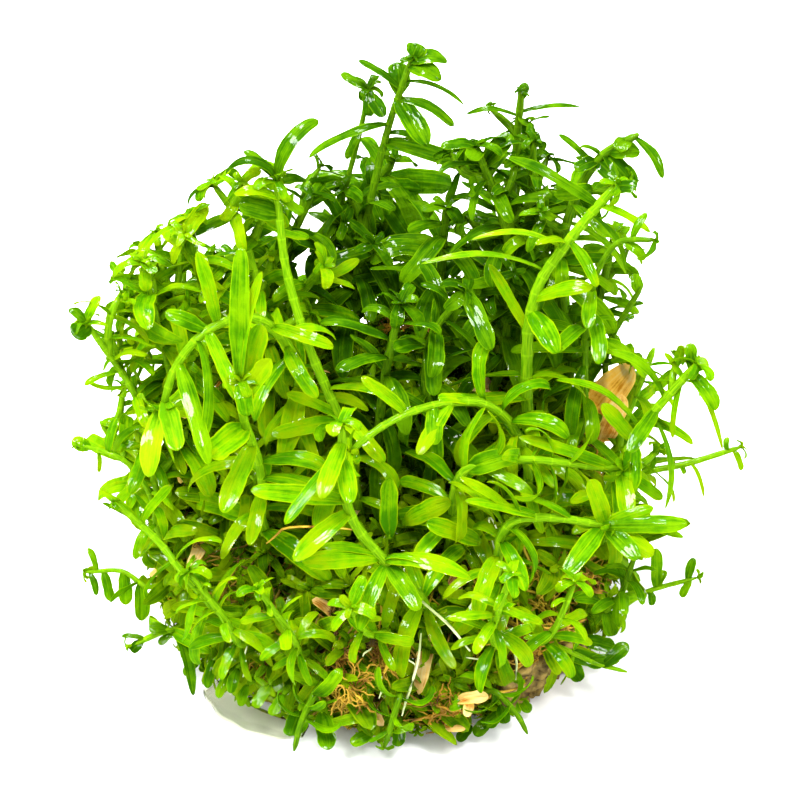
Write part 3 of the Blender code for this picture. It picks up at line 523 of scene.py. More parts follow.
# Tangles of roots: the middle and the reach of each, in pixels, and its kind.
TANGLES = (
    (352, 688, 12, 15, TAN), (446, 710, 19, 14, RUST), (342, 655, 8, 9, RUST), (384, 661, 8, 11, TAN),
    (530, 650, 13, 10, RUST), (565, 628, 10, 7, TAN), (540, 668, 30, 25, TAN), (604, 442, 14, 14, RUST),
    (632, 503, 8, 6, RUST), (584, 582, 10, 8, RUST), (616, 396, 22, 26, TAN), (286, 346, 7, 6, RUST),
    (393, 324, 7, 6, RUST),
)

# The shades of each kind of leaf: dark, middle, bright, and with light through it. "deep" and "mid" are
# the lit leaf painted darker, as the shade and half shade of shoots and leaves that lie in shade.
SHADES = {
    "deep": ((0.018, 0.08, 0.0001), (0.035, 0.14, 0.0002), (0.11, 0.27, 0.0003), (0.16, 0.34, 0.0003)),
    "lit": ((0.05, 0.22, 0.0002), (0.15, 0.4, 0.0004), (0.27, 0.43, 0.0004), (0.34, 0.49, 0.0004)),
    "low": ((0.035, 0.13, 0.0002), (0.12, 0.3, 0.0005), (0.25, 0.4, 0.001), (0.33, 0.45, 0.001)),
    "mid": ((0.03, 0.13, 0.0002), (0.08, 0.26, 0.0003), (0.19, 0.4, 0.0005), (0.26, 0.45, 0.0005)),
    "pale": ((0.11, 0.32, 0.001), (0.24, 0.47, 0.002), (0.34, 0.54, 0.003), (0.38, 0.56, 0.004)),
}
DEAD_SHADES = (0.42, 0.13, 0.003), (0.9, 0.62, 0.19), (0.96, 0.8, 0.4), (0.97, 0.74, 0.2)
# Two shades of each kind of root, and how fine its patches are.
ROOT_SHADES = {
    # The darkest shades. On the heart above the mat, they also paint the shade deep inside the clump.
    "roots": ((0.012, 0.007, 0.0002), (0.17, 0.11, 0.003), 300),
    "root_fibre": ((0.06, 0.03, 0.0005), (0.5, 0.36, 0.015), 150),
    "root_white": ((0.35, 0.42, 0.14), (0.72, 0.77, 0.45), 200),
    "root_tan": ((0.12, 0.05, 0.0005), (0.68, 0.43, 0.03), 400),
    "root_rust": ((0.06, 0.025, 0.0003), (0.5, 0.27, 0.012), 400),
    "bark": ((0.03, 0.015, 0.001), (0.3, 0.21, 0.045), 700),
}
WATER_IOR = 1.33
# The lamps: place, size, power, and whether they glint on the wet leaves.
LAMPS = {
    "key": ((-0.2, -0.12, 0.6), 0.19, 6.5, True),
    "glint": ((0.15, -0.25, 0.6), 0.14, 3.5, True),
    "shine": ((-0.12, 0.35, 0.55), 0.14, 3.5, True),
    "right": ((0.55, 0.0, 0.25), 0.4, 3.5, False),
    "left": ((-0.55, 0.1, 0.25), 0.4, 5.2, False),
    "rim": ((0.1, 0.5, 0.5), 0.3, 3, False),
}
FLOOR_REACH = 3.0

# Shoots by the kind of their leaves, told by how their names begin. Those of the first two groups have
# leaves and stems painted darker, as shade and half shade.
SHADED_SHOOTS = ("back", "rear_04", "rear_05", "rear_06", "centre_t", "centre_b", "hollow")
LOW_SHOOTS = ("front_drop", "right_low", "left_ground", "right_ground")
SHORT_LEAVED = (
    "front_left", "front_bud", "front_drop", "front_right", "front_middle", "front_shelf", "right_low",
)
HALF_SHADED_SHOOTS = (
    "front_drop", "right_low", "right_drop", "right_small", "right_back", "rear_03", "rear_02", "rear_07",
)
MODEST = LOW_SHOOTS + (
    "back_tall", "back_right", "left_arm", "left_reach", "left_low_arm", "right_far", "right_small",
)
BROAD = 1.15  # width of the leaves of shaded and low shoots beside the others'
SHORT = 0.8  # length of short leaves beside the others'
MODEST_ROSETTE = 0.45


def cushion():
    """The whole cushion: a sphere pressed squarish, with low lumps round it and the hollow in its crown."""
    bm = bmesh.new()
    bmesh.ops.create_uvsphere(bm, u_segments=CUSHION_SEGMENTS, v_segments=CUSHION_SEGMENTS // 2, radius=1)
    for vertex in bm.verts:
        across, height = vertex.co.xy.length, vertex.co.z
        azimuth = math.atan2(vertex.co.y, vertex.co.x)
        reach = (across**CUSHION_SQUARENESS + abs(height) ** CUSHION_SQUARENESS) ** (-1 / CUSHION_SQUARENESS)
        lumps = 1 + sum(size * math.sin(waves * azimuth + start) for waves, start, size in CUSHION_LUMPS)
        vertex.co.xy *= reach * CUSHION_RADIUS * lumps
        crown = CUSHION_HEIGHT - CUSHION_WAIST + CUSHION_SLOPE * vertex.co.y
        upwards = crown if height > 0 else CUSHION_DEPTH
        from_hollow = (vertex.co.xy - HOLLOW).length / HOLLOW_WIDTH
        dip = HOLLOW_DEPTH * math.exp(-(from_hollow**2)) if height > 0 else 0
        vertex.co.z = CUSHION_WAIST + height * reach * upwards - dip
    return bm


class Stem:
    """A smooth line through a route, with a direction and a sideways vector that doesn't spin along it."""

    def __init__(self, route, radius):
        spans = [route[0] * 2 - route[1], *route, route[-1] * 2 - route[-2]]
        fine = [
            catmull_rom(spans[i : i + 4], step / STEM_SAMPLES)
            for i in range(len(route) - 1)
            for step in range(STEM_SAMPLES)
        ]
        fine.append(route[-1].copy())
        walked = [0.0]
        for a, b in zip(fine, fine[1:]):
            walked.append(walked[-1] + (b - a).length)
        self.length, self.radius = walked[-1], radius
        self.points, index = [], 0
        for step in range(STEM_SAMPLES + 1):
            target = self.length * step / STEM_SAMPLES
            while index < len(fine) - 2 and walked[index + 1] < target:
                index += 1
            share = (target - walked[index]) / max(walked[index + 1] - walked[index], 1e-9)
            self.points.append(fine[index].lerp(fine[index + 1], share))
        ends = [self.points[0], *self.points, self.points[-1]]
        self.directions = [(after - before).normalized() for before, after in zip(ends, ends[2:])]
        self.sides = [self.directions[0].orthogonal().normalized()]
        for before, after in zip(self.directions, self.directions[1:]):
            self.sides.append(before.rotation_difference(after) @ self.sides[-1])

    def at(self, share):
        """The place, direction and sideways vector at a share of the length."""
        step = min(max(share, 0), 1) * STEM_SAMPLES
        low = min(int(step), STEM_SAMPLES - 1)
        part = step - low
        direction = self.directions[low].lerp(self.directions[low + 1], part).normalized()
        side = self.sides[low].lerp(self.sides[low + 1], part)
        return self.points[low].lerp(self.points[low + 1], part), direction, side.normalized()

    def radius_at(self, share):
        return self.radius * (1 - STEM_TAPER * share)

    def ring(self, share, roll):
        """Four corners just outside the stem, whose sides face roll and each quarter turn from it."""
        centre, direction, side = self.at(share)
        reach = (self.radius_at(share) * SQUARE + CLEARANCE) * math.sqrt(2)
        return [
            centre + reach * (Quaternion(direction, roll - QUARTER / 2 + corner * QUARTER) @ side)
            for corner in range(4)
        ]


def catmull_rom(points, share):
    """A point between the middle two of four, on a curve that stays smooth where their spacing changes."""
    a, b, c, d = points
    knots = [0.0]
    for before, after in zip(points, points[1:]):
        knots.append(knots[-1] + max((after - before).length, MM) ** 0.5)
    t0, t1, t2, t3 = knots
    t = t1 + (t2 - t1) * share
    ab = a.lerp(b, (t - t0) / (t1 - t0))
    bc = b.lerp(c, (t - t1) / (t2 - t1))
    cd = c.lerp(d, (t - t2) / (t3 - t2))
    abc = ab.lerp(bc, (t - t0) / (t2 - t0))
    bcd = bc.lerp(cd, (t - t1) / (t3 - t1))
    return abc.lerp(bcd, (t - t1) / (t2 - t1))


class Leaf:
    """A blade that springs from base towards direction and arches away from where its normal faces."""

    def __init__(self, base, direction, across, length, arch, twist):
        self.base, self.direction, self.across = base, direction, across
        self.normal = direction.cross(across)
        self.length, self.arch, self.twist = length, arch, twist
        self.half_width = length * LEAF_SLENDERNESS / 2

    def section(self, share, width=1.0):
        """Four corners just outside the leaf: the two of its underside, then the two above them."""
        turn = self.arch * share
        along, down = math.sin(turn) / self.arch, (1 - math.cos(turn)) / self.arch
        centre = self.base + self.length * (along * self.direction - down * self.normal)
        normal = math.cos(turn) * self.normal + math.sin(turn) * self.direction
        roll = self.twist * share
        across = math.cos(roll) * self.across + math.sin(roll) * normal
        normal = math.cos(roll) * normal - math.sin(roll) * self.across
        side = across * (self.half_width * width + CLEARANCE)
        lift = normal * (LEAF_THICKNESS / 2 + CLEARANCE)
        return [centre - side - lift, centre + side - lift, centre - side + lift, centre + side + lift]

    def blade(self, start):
        """The leaf from start, a share of the way to its middle: rings of four corners."""
        foot = [self.base + part * (self.half_width / 2) * self.across for part in (-1, 1, -1, 1)]
        middle = self.section(LEAF_MIDDLE)
        first = [low.lerp(high, start) for low, high in zip(foot, middle)]
        rings = [first, middle, self.section(1, LEAF_TIP)]
        return [[a, b, d, c] for a, b, c, d in rings]


class Obstacles:
    """The shapes already placed, looked up by the cells of space that they reach."""

    def __init__(self):
        self.cells = defaultdict(list)

    def cells_of(self, points):
        low = [int(min(p[axis] for p in points) // CELL) for axis in range(3)]
        high = [int(max(p[axis] for p in points) // CELL) for axis in range(3)]
        return [
            (x, y, z)
            for x in range(low[0], high[0] + 1)
            for y in range(low[1], high[1] + 1)
            for z in range(low[2], high[2] + 1)
        ]

    def add(self, points, tree):
        for cell in self.cells_of(points):
            self.cells[cell].append(tree)

    def meets(self, points, tree, but=None):
        near = {id(other): other for cell in self.cells_of(points) for other in self.cells[cell]}
        return any(other is not but and tree.overlap(other) for other in near.values())


def tube(rings):
    """Points and faces of a closed tube through rings of four corners, and its tree for overlap tests."""
    points = [corner for ring in rings for corner in ring]
    faces = [(3, 2, 1, 0), tuple(len(points) - 4 + corner for corner in range(4))]
    for start in range(0, len(points) - 4, 4):
        for corner in range(4):
            after = (corner + 1) % 4
            faces.append((start + corner, start + after, start + 4 + after, start + 4 + corner))
    return points, BVHTree.FromPolygons(points, faces)


def pair_shares(shoot, stem):
    """Where along the stem the middles of the pairs of leaves are: closer together towards the tip."""
    last = 1 - (BUD_LENGTH + NODE_LENGTH) / stem.length
    steps = [(index / (shoot.pairs - 1)) ** CROWDING for index in range(shoot.pairs)]
    return [shoot.bare + (last - shoot.bare) * step for step in steps]


def stem_shape(shoot, stem, roll):
    """The stem's tube: two rings round each pair of leaves, and one at each end."""
    half = NODE_LENGTH / stem.length / 2
    around = [share + part * half for share in pair_shares(shoot, stem) for part in (-1, 1)]
    return tube([stem.ring(share, roll) for share in (0.0, *around, 1.0)])


def rooted_route(route, ground):
    """The route from just outside the cushion: straight out of it, then on through the listed points."""
    inwards = (route[0] - route[1]).normalized()
    surface, normal, _, _ = ground.ray_cast(route[1], inwards)
    return [surface + normal * ROOT_GAP, surface + normal * ROOT_STRAIGHT, *route[1:]]


def nudges():
    """Sideways moves to try on a stem that meets another, from none to several millimetres."""
    yield Vector((0, 0, 0))
    for reach in NUDGES:
        for step in range(NUDGE_WAYS):
            angle = step * 4 * QUARTER / NUDGE_WAYS
            yield Vector((math.cos(angle), math.sin(angle), NUDGE_RISE * math.cos(2 * angle))) * reach


def place_stem(shoot, roll, ground, obstacles):
    """The first nudged stem that meets nothing. It is then an obstacle itself."""
    listed = [Vector(point) * MM for point in shoot.route]
    for move in nudges():
        moved = [*[point + move for point in listed[:-1]], listed[-1] + move / 2]
        stem = Stem(rooted_route(moved, ground), shoot.leaf * MM * STEM_SHARE)
        points, tree = stem_shape(shoot, stem, roll)
        if not obstacles.meets(points, tree):
            obstacles.add(points, tree)
            stem.tree = tree
            return stem
    raise ValueError(f"no room for the stem of {shoot.name}")


def place_leaf(stem, share, facing, length, rng, obstacles):
    """The first turned, tilted or shortened leaf that meets nothing, or None."""
    centre, direction, side = stem.at(share)
    tilt = math.radians(rng.uniform(*LEAF_TILTS)) * (1 - LEAF_CLOSING * share**3)
    arch = math.radians(rng.uniform(*LEAF_ARCHES))
    twist = math.radians(rng.uniform(*LEAF_TWISTS))
    for size in SIZES:
        for turn in TURNS:
            outward = Quaternion(direction, facing + turn) @ side
            base = centre + (Quaternion(direction, facing) @ side) * stem.radius_at(share) * SQUARE
            across = direction.cross(outward)
            for lean in TILTS:
                heading = math.cos(tilt + lean) * direction + math.sin(tilt + lean) * outward
                leaf = Leaf(base, heading, across, length * size, arch, twist)
                points, tree = tube(leaf.blade(0))
                if min(point.z for point in points) < GAP or obstacles.meets(points, tree, but=stem.tree):
                    continue
                if not tube(leaf.blade(BLADE_START))[1].overlap(stem.tree):
                    obstacles.add(points, tree)
                    return leaf
    return None


def place_leaves(shoot, stem, roll, rng, obstacles):
    """Two leaves for each pair, opposite each other, each pair a quarter turn on from the last."""
    placed_leaves = {}
    for index, share in enumerate(pair_shares(shoot, stem)):
        grown = 1 - (1 - YOUNG) * (index / (shoot.pairs - 1)) ** 3
        for opposite in (0, 2):
            length = shoot.leaf * MM * grown * rng.uniform(*LEAF_LENGTHS)
            side = (index + opposite) % 4
            facing = roll + side * QUARTER
            placed_leaves[index, side] = place_leaf(stem, share, facing, length, rng, obstacles)
    return placed_leaves


def rear_shoots():
    """The shoots round the back, from their rule: the lower they are, the further they lean."""
    made = []
    for index in range(REAR_COUNT):
        azimuth = REAR_FROM + (REAR_TO - REAR_FROM) * index / (REAR_COUNT - 1)
        out = Vector((math.cos(azimuth), math.sin(azimuth), 0))
        height = REAR_HEIGHTS[index % len(REAR_HEIGHTS)]
        lean = REAR_LEAN * (1 + REAR_HEIGHTS[0] / height) / 2
        root = out * REAR_ROOT + UP * height * 0.35
        waist = out * (REAR_ROOT + lean * 0.6) + UP * height * 0.6
        tip = out * (REAR_ROOT + lean) + UP * height
        route = [point / MM for point in (root, waist, tip)]
        made.append(Shoot(f"rear_{index + 1:02d}", REAR_PAIRS, REAR_LEAF, REAR_BARE, route))
    return made


class Piece:
    """Points, faces and texture places gathered for one mesh."""

    def __init__(self, seed):
        self.points, self.faces, self.places, self.slots = [], [], [], []
        self.count = 0
        self.grown = 0
        self.rng = random.Random(seed)

    def add(self, points, faces, places, slot):
        self.points.append(points)
        self.places.append(places)
        self.faces.append(faces + self.count)
        self.slots.append(np.full(len(faces), slot))
        self.count += len(points)

    def build(self, name, materials, nodes, slot):
        """Makes the object, which stands for the nodes."""
        points, places = np.concatenate(self.points), np.concatenate(self.places)
        points[:, 2] = np.maximum(points[:, 2], FLOOR_GAP)
        faces, slots = np.concatenate(self.faces), np.concatenate(self.slots)
        mesh = bpy.data.meshes.new(name)
        mesh.from_pydata(points.tolist(), [], faces.tolist())
        uv = mesh.uv_layers.new(name="leaf")
        loops = np.empty(len(mesh.loops), dtype=np.int32)
        mesh.loops.foreach_get("vertex_index", loops)
        uv.data.foreach_set("uv", places[loops].astype(np.float32).ravel())
        for material in materials:
            mesh.materials.append(material)
        mesh.polygons.foreach_set("material_index", slots.astype(np.int32))
        mesh.polygons.foreach_set("use_smooth", np.ones(len(faces), dtype=bool))
        share = np.abs(places[:, 0] % 1 - 0.5)
        rim = (share > RIM_AT) | (share < 1e-6)
        ends = np.empty(2 * len(mesh.edges), dtype=np.int32)
        mesh.edges.foreach_get("vertices", ends)
        mesh.edges.foreach_set("use_edge_sharp", rim[ends.reshape(-1, 2)].all(axis=1))
        mesh.update()
        return shown(name, mesh, nodes)


def shown(name, mesh, nodes):
    piece = bpy.data.objects.new(name, mesh)
    bpy.context.scene.collection.objects.link(piece)
    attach(piece, "root")
    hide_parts(*nodes)
    return piece


def lofted(seed, rings):
    """A piece that is one loft through rings of points."""
    piece = Piece(seed)
    points = np.concatenate(rings)
    piece.add(points, loft(len(rings), len(rings[0])), np.zeros((len(points), 2)), LIT)
    return piece


def array(vector):
    return np.array(vector[:], dtype=float)


def loft(count, around):
    """Quads between rings that follow each other, and over each end."""
    faces = []
    for ring in range(count - 1):
        for step in range(around):
            after = (step + 1) % around
            a = ring * around
            faces.append((a + step, a + after, a + around + after, a + around + step))
    for first, flip in ((0, True), ((count - 1) * around, False)):
        for step in range(1, around // 2):
            last = first + around - 1 - step
            quad = (first + step - 1, first + step, last, first + (around - step) % around)
            faces.append(quad[::-1] if flip else quad)
    return np.array(faces)


def leaf_outline(t, blunt, foot):
    """Half the width of a leaf beside its widest, at shares t of its length: a narrow foot, a round tip."""
    rise = np.clip(t / LEAF_MIDDLE, 0, 1)
    base = foot + (1 - foot) * rise * (2 - rise)
    fall = np.clip((t - 0.7) / 0.3, 0, 1)
    return base * np.maximum(1 - fall**blunt, 0.0) ** 0.5


def leaf_rows(rows):
    """Shares of a leaf's length, closer together towards its round tip."""
    return 1 - (1 - np.linspace(0, 1, rows)) ** 1.5


def add_leaf(
    piece, leaf, rows=LEAF_ROWS, slot=LIT, wide=1, hook=None, foot=PETIOLE, sweep=0.2, size=1, told=False
):
    """One fine leaf: a thin closed blade, creased or cupped along its middle, a little wavy."""
    rng = piece.rng
    fold = rng.choice([rng.uniform(*limits) for limits in FOLDS])
    hook = rng.uniform(*HOOKS) if hook is None else hook
    sweep *= rng.uniform(-1, 1)
    wave = rng.uniform(*WAVES)
    phase = rng.uniform(0, 6.28)
    blunt = rng.uniform(*BLUNTNESS)
    across_at = LEAF_ACROSS if rows == LEAF_ROWS else SMALL_ACROSS
    t = leaf_rows(rows)
    turn = leaf.arch * t + hook * t**4
    steps = np.diff(t, prepend=0)
    between = turn - np.diff(turn, prepend=0) / 2
    along = (np.cumsum(np.cos(between) * steps) - 0.03)[:, None]
    down = np.cumsum(np.sin(between) * steps)[:, None]
    t, turn = t[:, None], turn[:, None]
    direction, normal, across = array(leaf.direction), array(leaf.normal), array(leaf.across)
    path = along * direction - down * normal + sweep * t**2 * across
    tested = () if told else path[[-1, 3 * rows // 4, rows // 2, rows // 4]]
    while not all(belongs(leaf.base + Vector(at) * leaf.length * size) for at in tested):
        size *= SHORTER
        if size < SHORTEST:
            return
    centre = array(leaf.base) + leaf.length * size * path
    up = np.cos(turn) * normal + np.sin(turn) * direction
    roll = leaf.twist * t
    side = np.cos(roll) * across + np.sin(roll) * up
    up = np.cos(roll) * up - np.sin(roll) * across
    ragged = 1 + 0.05 * np.sin(11 * t + phase) + 0.03 * np.sin(23 * t + 2 * phase)
    outline = np.maximum(leaf_outline(t, blunt, foot), LEAST_WIDTH)
    half = leaf.half_width * wide * math.sqrt(size) * ragged * outline
    thick = BLADE_THICKNESS * (0.6 + 0.4 * (1 - t)) * np.clip(half / leaf.half_width * 2, 0.2, 1)
    rings = []
    rims = [(u, 0.5 if abs(u) < 1 else 0) for u in across_at] + [(u, -0.5) for u in across_at[-2:0:-1]]
    for u, share in rims:
        folded = fold * (abs(u) ** 1.1 - 0.5) * (1 - 0.6 * t)
        lift = half * (folded + wave * np.sin(8 * t + phase + 2 * u) * u)
        rings.append(centre + side * u * half + up * (lift + share * thick))
    points = np.stack(rings, axis=1)
    places = np.empty((rows, len(rings), 2))
    places[:, :, 0] = np.array([0.5 + 0.49 * u for u, _ in rims])[None, :] + piece.grown
    places[:, :, 1] = t
    piece.add(points.reshape(-1, 3), loft(rows, len(rings))[:, ::-1], places.reshape(-1, 2), slot)
    piece.grown += 1


def add_stem(piece, stem, nodes, sides=STEM_SIDES, step_length=STEM_STEP):
    """A round stem that swells at its nodes and closes at its tip."""
    count = max(4, round(stem.length / step_length))
    turns = np.arange(sides) * 4 * QUARTER / sides
    square = (1 + 0.07 * np.cos(4 * turns) + 0.03 * np.cos(8 * turns + 1))[:, None]
    marks = [0, *sorted(nodes), 1]
    rings, places = [], []
    for share in np.linspace(0, 1, count):
        centre, direction, side = stem.at(share)
        swell = sum(math.exp(-(((share - node) * stem.length / NODE_REACH) ** 2)) for node in nodes)
        radius = stem.radius_at(share) * (1 + NODE_SWELL * swell)
        if share > 1 - 1e-6:
            radius *= 0.45
        side, other = array(side), array(direction.cross(side))
        round_it = np.cos(turns)[:, None] * side + np.sin(turns)[:, None] * other
        rings.append(array(centre) + radius * square * round_it)
        passed = np.interp(share, marks, range(len(marks)))
        places.append(np.stack([turns / 8 + 0.1 + piece.grown, np.full(sides, passed)], axis=1))
    piece.add(np.concatenate(rings), loft(count, sides), np.concatenate(places), STEM)
    piece.grown += 1


def pair_of_leaves(stem, share, facing, tilt, length, arch, twist):
    """The two leaves of a pair, opposite each other."""
    centre, direction, side = stem.at(share)
    for turn, tilted, size in zip((facing, facing + 2 * QUARTER), tilt, length):
        outward = Quaternion(direction, turn) @ side
        heading = math.cos(tilted) * direction + math.sin(tilted) * outward
        yield Leaf(centre, heading, direction.cross(outward), size, arch, twist)


def add_rosette(piece, stem, roll, size, rows=SMALL_ROWS, first=0):
    """The young leaves that crowd round a tip, short, round and bent back."""
    rng = piece.rng
    for order, (length, angle) in enumerate(ROSETTE[first:]):
        facing = roll + order * QUARTER + rng.uniform(-0.5, 0.5)
        tilt = [math.radians(angle * rng.uniform(0.5, 1.5)) for _ in range(2)]
        lengths = [length * size * MM * rng.uniform(0.65, 1.3) for _ in range(2)]
        arch = rng.uniform(0.6, 1.9)
        twist = rng.uniform(-0.8, 0.8)
        for leaf in pair_of_leaves(stem, 1 - order * 0.001, facing, tilt, lengths, arch, twist):
            add_leaf(piece, leaf, rows, wide=rng.uniform(1.3, 1.8), hook=rng.uniform(0, 1.2), foot=0.45)


def extra_shares(shoot, stem):
    """Where a long stem bears the pairs that its solid leaves out: between its own, and below them."""
    shares = pair_shares(shoot, stem)
    below = int(shares[0] * stem.length / EXTRA_GAP)
    extra = [shares[0] * (index + 0.6) / (below + 0.6) for index in range(below)]
    for low, high in zip(shares, shares[1:]):
        between = int((high - low) * stem.length / EXTRA_GAP)
        extra += [low + (high - low) * (index + 1) / (between + 1) for index in range(between)]
    return extra


def told_leaf(piece, foot, told):
    """A leaf whose foot is in space, and whose tip is told by where the camera sees it."""
    eye, sight = seen_at(told.tip_across, told.tip_down)
    forward = camera_axes()[0]
    depth = (foot - eye).dot(forward) - told.near * MM
    tip = eye + sight * (depth / sight.dot(forward))
    chord = tip - foot
    along = chord.normalized()
    seen = (-forward - along * -forward.dot(along)).normalized()
    beside = along.cross(seen)
    beside *= 1 if beside.dot(camera_axes()[1]) > 0 else -1
    half = math.radians(told.arch) / 2
    face = math.radians(told.face)
    over = (seen * math.cos(face) + beside * math.sin(face)).normalized()
    heading = along * math.cos(half) + over * math.sin(half)
    normal = over * math.cos(half) - along * math.sin(half)
    length = chord.length * half / math.sin(half)
    leaf = Leaf(foot, heading, normal.cross(heading), length, half * 2, piece.rng.uniform(-0.3, 0.3))
    width = TOLD_WIDTH * told.width * FRAME_WIDTH / PICTURE
    add_leaf(piece, leaf, slot=told.kind, wide=width / 2 / leaf.half_width, hook=0, sweep=0, told=True)


def stem_near(stem, told):
    """The point of a stem that the camera sees nearest to where a leaf's foot is told to be."""
    eye, sight = seen_at(told.across, told.down)
    points = [stem.at(step / 60)[0] for step in range(61)]
    return min(points, key=lambda point: (point - eye).cross(sight).length)


def long_shoot(shoot, stem, roll, leaves, seed, materials, obstacles):
    """The fine mesh of one long shoot."""
    ruled = RULED.get(shoot.name, 1)
    broad = BROAD if shoot.name.startswith(SHADED_SHOOTS + LOW_SHOOTS) else 1
    size = SHORT if shoot.name.startswith(SHORT_LEAVED) else 1
    piece = Piece(seed)
    rng = random.Random(seed + 500)
    radius = stem.radius * STOUT.get(shoot.name, STOUTNESS)
    deep = Stem([stem.points[0] - stem.directions[0] * STEM_DEPTH, *stem.points[::6]], radius)
    sunk = 1 - stem.length / deep.length
    shares = pair_shares(shoot, stem)
    extra = extra_shares(shoot, stem)
    add_stem(piece, deep, [sunk + (1 - sunk) * share for share in shares + extra])
    for (index, _), leaf in leaves.items():
        if leaf is not None and shares[index] <= ruled:
            add_leaf(piece, leaf, wide=broad * rng.uniform(*LEAF_WIDTHS), size=size)
    for told in TOLD.get(shoot.name, ()):
        told_leaf(piece, stem_near(stem, told), told)
    for start, count in TWIGS.items():
        if shoot.name.startswith(start):
            for index in range(count):
                reach = LOW_TWIGS if start == "back_t" else TWIGS_TO
                twig(piece, stem, TWIGS_FROM + reach * (index + rng.uniform(0.2, 0.8)) / count, rng)
    for index, share in enumerate(extra):
        if share > ruled:
            continue
        length = shoot.leaf * MM * rng.uniform(0.75, 1.1) * (1 - 0.3 * share**3)
        for half in (0, 2):
            facing = roll + (half + 0.5) * QUARTER + rng.uniform(-0.3, 0.3) + (index % 2) * QUARTER
            leaf = place_leaf(stem, share, facing, length, rng, obstacles)
            if leaf is not None:
                add_leaf(piece, leaf, wide=broad * rng.uniform(*LEAF_WIDTHS), size=size)
    add_rosette(piece, stem, roll, MODEST_ROSETTE if shoot.name.startswith(MODEST) else 0.4 + shoot.leaf / 16)
    piece.build("fine_" + shoot.name, materials, ["shoot_" + shoot.name], "rotala_leaf")


def twig(piece, stem, share, rng):
    """A short leafy shoot that branches off a long one."""
    centre, direction, side = stem.at(share)
    out = Quaternion(direction, rng.uniform(0, 4) * QUARTER) @ side
    reach = rng.uniform(*TWIG_REACH) * MM
    tip = centre + (direction + out * rng.uniform(0.7, 1.4)).normalized() * reach
    limits = zip(CAD_BOX[0], tip, CAD_BOX[1])
    if all(low + TWIG_ROOM < at < high - TWIG_ROOM for low, at, high in limits) and belongs(tip):
        leafier = LEAFIER if pixel_of(tip)[0] < PICTURE / 2 else 1
        leaf = leafier * rng.uniform(*TWIG_LEAF) * MM
        small_shoot(piece, centre, tip, leaf, TWIG_PAIRS, rng, broad=leafier)


def small_shoot(piece, root, tip, leaf_length, pairs, rng, broad=1):
    """A short leafy shoot of the undergrowth, from root to tip."""
    bend = Vector([rng.uniform(-1, 1) for _ in range(3)]) * SMALL_BEND * (tip - root).length
    stem = Stem([root, root.lerp(tip, 0.5) + bend, tip], leaf_length * SMALL_STEM_SHARE)
    shares = [0.25 + 0.66 * (index / (pairs - 1)) ** 0.9 for index in range(pairs)]
    add_stem(piece, stem, shares, sides=SMALL_STEM_SIDES, step_length=SMALL_STEM_STEP)
    roll = rng.uniform(0, 4) * QUARTER
    rows = SMALL_ROWS if leaf_length > 6 * MM else TINY_ROWS
    for index, share in enumerate(shares):
        young = 1 - 0.45 * (index / (pairs - 1)) ** 3
        tilt = [math.radians(rng.uniform(50, 95)) * (1 - 0.35 * share**3) for _ in range(2)]
        lengths = [leaf_length * young * rng.uniform(0.75, 1.15) for _ in range(2)]
        facing = roll + index * QUARTER + rng.uniform(-0.35, 0.35)
        arch, twist = rng.uniform(0.3, 1.5), rng.uniform(-0.8, 0.8)
        slot = OTHER if rng.random() < OTHER_SHARE else LIT
        for leaf in pair_of_leaves(stem, share, facing, tilt, lengths, arch, twist):
            add_leaf(piece, leaf, rows, slot, wide=broad * rng.uniform(*SMALL_WIDTHS))
    add_rosette(piece, stem, roll, leaf_length / (10 * MM), rows=TINY_ROWS, first=1)


def surface_at(ground, heart, out):
    """Where a ray from the heart leaves the cushion, and which way its surface faces there."""
    surface, normal, _, _ = ground.ray_cast(heart + out * CUSHION_RADIUS * 2, -out)
    return surface, normal


def undergrowth(ground, materials):
    """The small shoots: all round the cushion, their tips at its surface, and those of its crown."""
    rng = random.Random(7)
    for tier in TIERS:
        pieces = [Piece(index) for index in range(4)]
        for index in range(tier.count):
            level = tier.low + (tier.high - tier.low) * ((index * 0.618) % 1)
            azimuth = index * GOLDEN + rng.uniform(-0.2, 0.2)
            out = Vector((math.cos(azimuth), math.sin(azimuth), 0))
            surface, normal = surface_at(ground, Vector((0, 0, level * MM)), out)
            sway = Vector((rng.uniform(-0.5, 0.5), rng.uniform(-0.5, 0.5), rng.uniform(-0.3, 0.3)))
            heading = (normal + UP * tier.lift + sway).normalized()
            reach = rng.uniform(*tier.reach) * MM
            tip = surface + normal * rng.uniform(-2.5, 0.5) * MM
            root = tip - heading * reach
            root.z, tip.z = max(root.z, LOWEST_TIP), max(tip.z, LOWEST_TIP)
            leaf = rng.uniform(*tier.leaf) * MM
            pairs = rng.choice(tier.pairs)
            if belongs(tip) and not is_bare(tip, normal):
                small_shoot(pieces[int(azimuth / QUARTER) % 4], root, tip, leaf, pairs, rng)
        for number, piece in enumerate(pieces):
            piece.build(f"{tier.name}_{number + 1}", materials, ["undergrowth"], "undergrowth")
    crown = [Piece(index + 20) for index in range(2)]
    for index in range(CROWN.count):
        reach = CROWN_REACH * math.sqrt((index + 0.5) / CROWN.count)
        azimuth = index * GOLDEN + 1
        start = Vector((reach * math.cos(azimuth), reach * math.sin(azimuth), 0))
        surface, normal, _, _ = ground.ray_cast(start + UP * ABOVE_ALL * MM, -UP)
        lean = Vector((rng.uniform(-1, 1), rng.uniform(-1, 1), rng.uniform(0.3, 1.2))).normalized()
        heading = (lean + normal * 0.6).normalized()
        tip = surface + normal * rng.uniform(-2.5, 2) * MM
        root = tip - heading * rng.uniform(*CROWN.reach) * MM
        root.z = max(root.z, LOWEST_CROWN_ROOT)
        leaf = rng.uniform(*CROWN.leaf) * MM
        if belongs(tip) and not is_bare(tip, normal):
            small_shoot(crown[index % 2], root, tip, leaf, rng.choice(CROWN.pairs), rng)
    for number, piece in enumerate(crown):
        piece.build(f"{CROWN.name}_{number + 1}", materials, ["undergrowth"], "undergrowth")


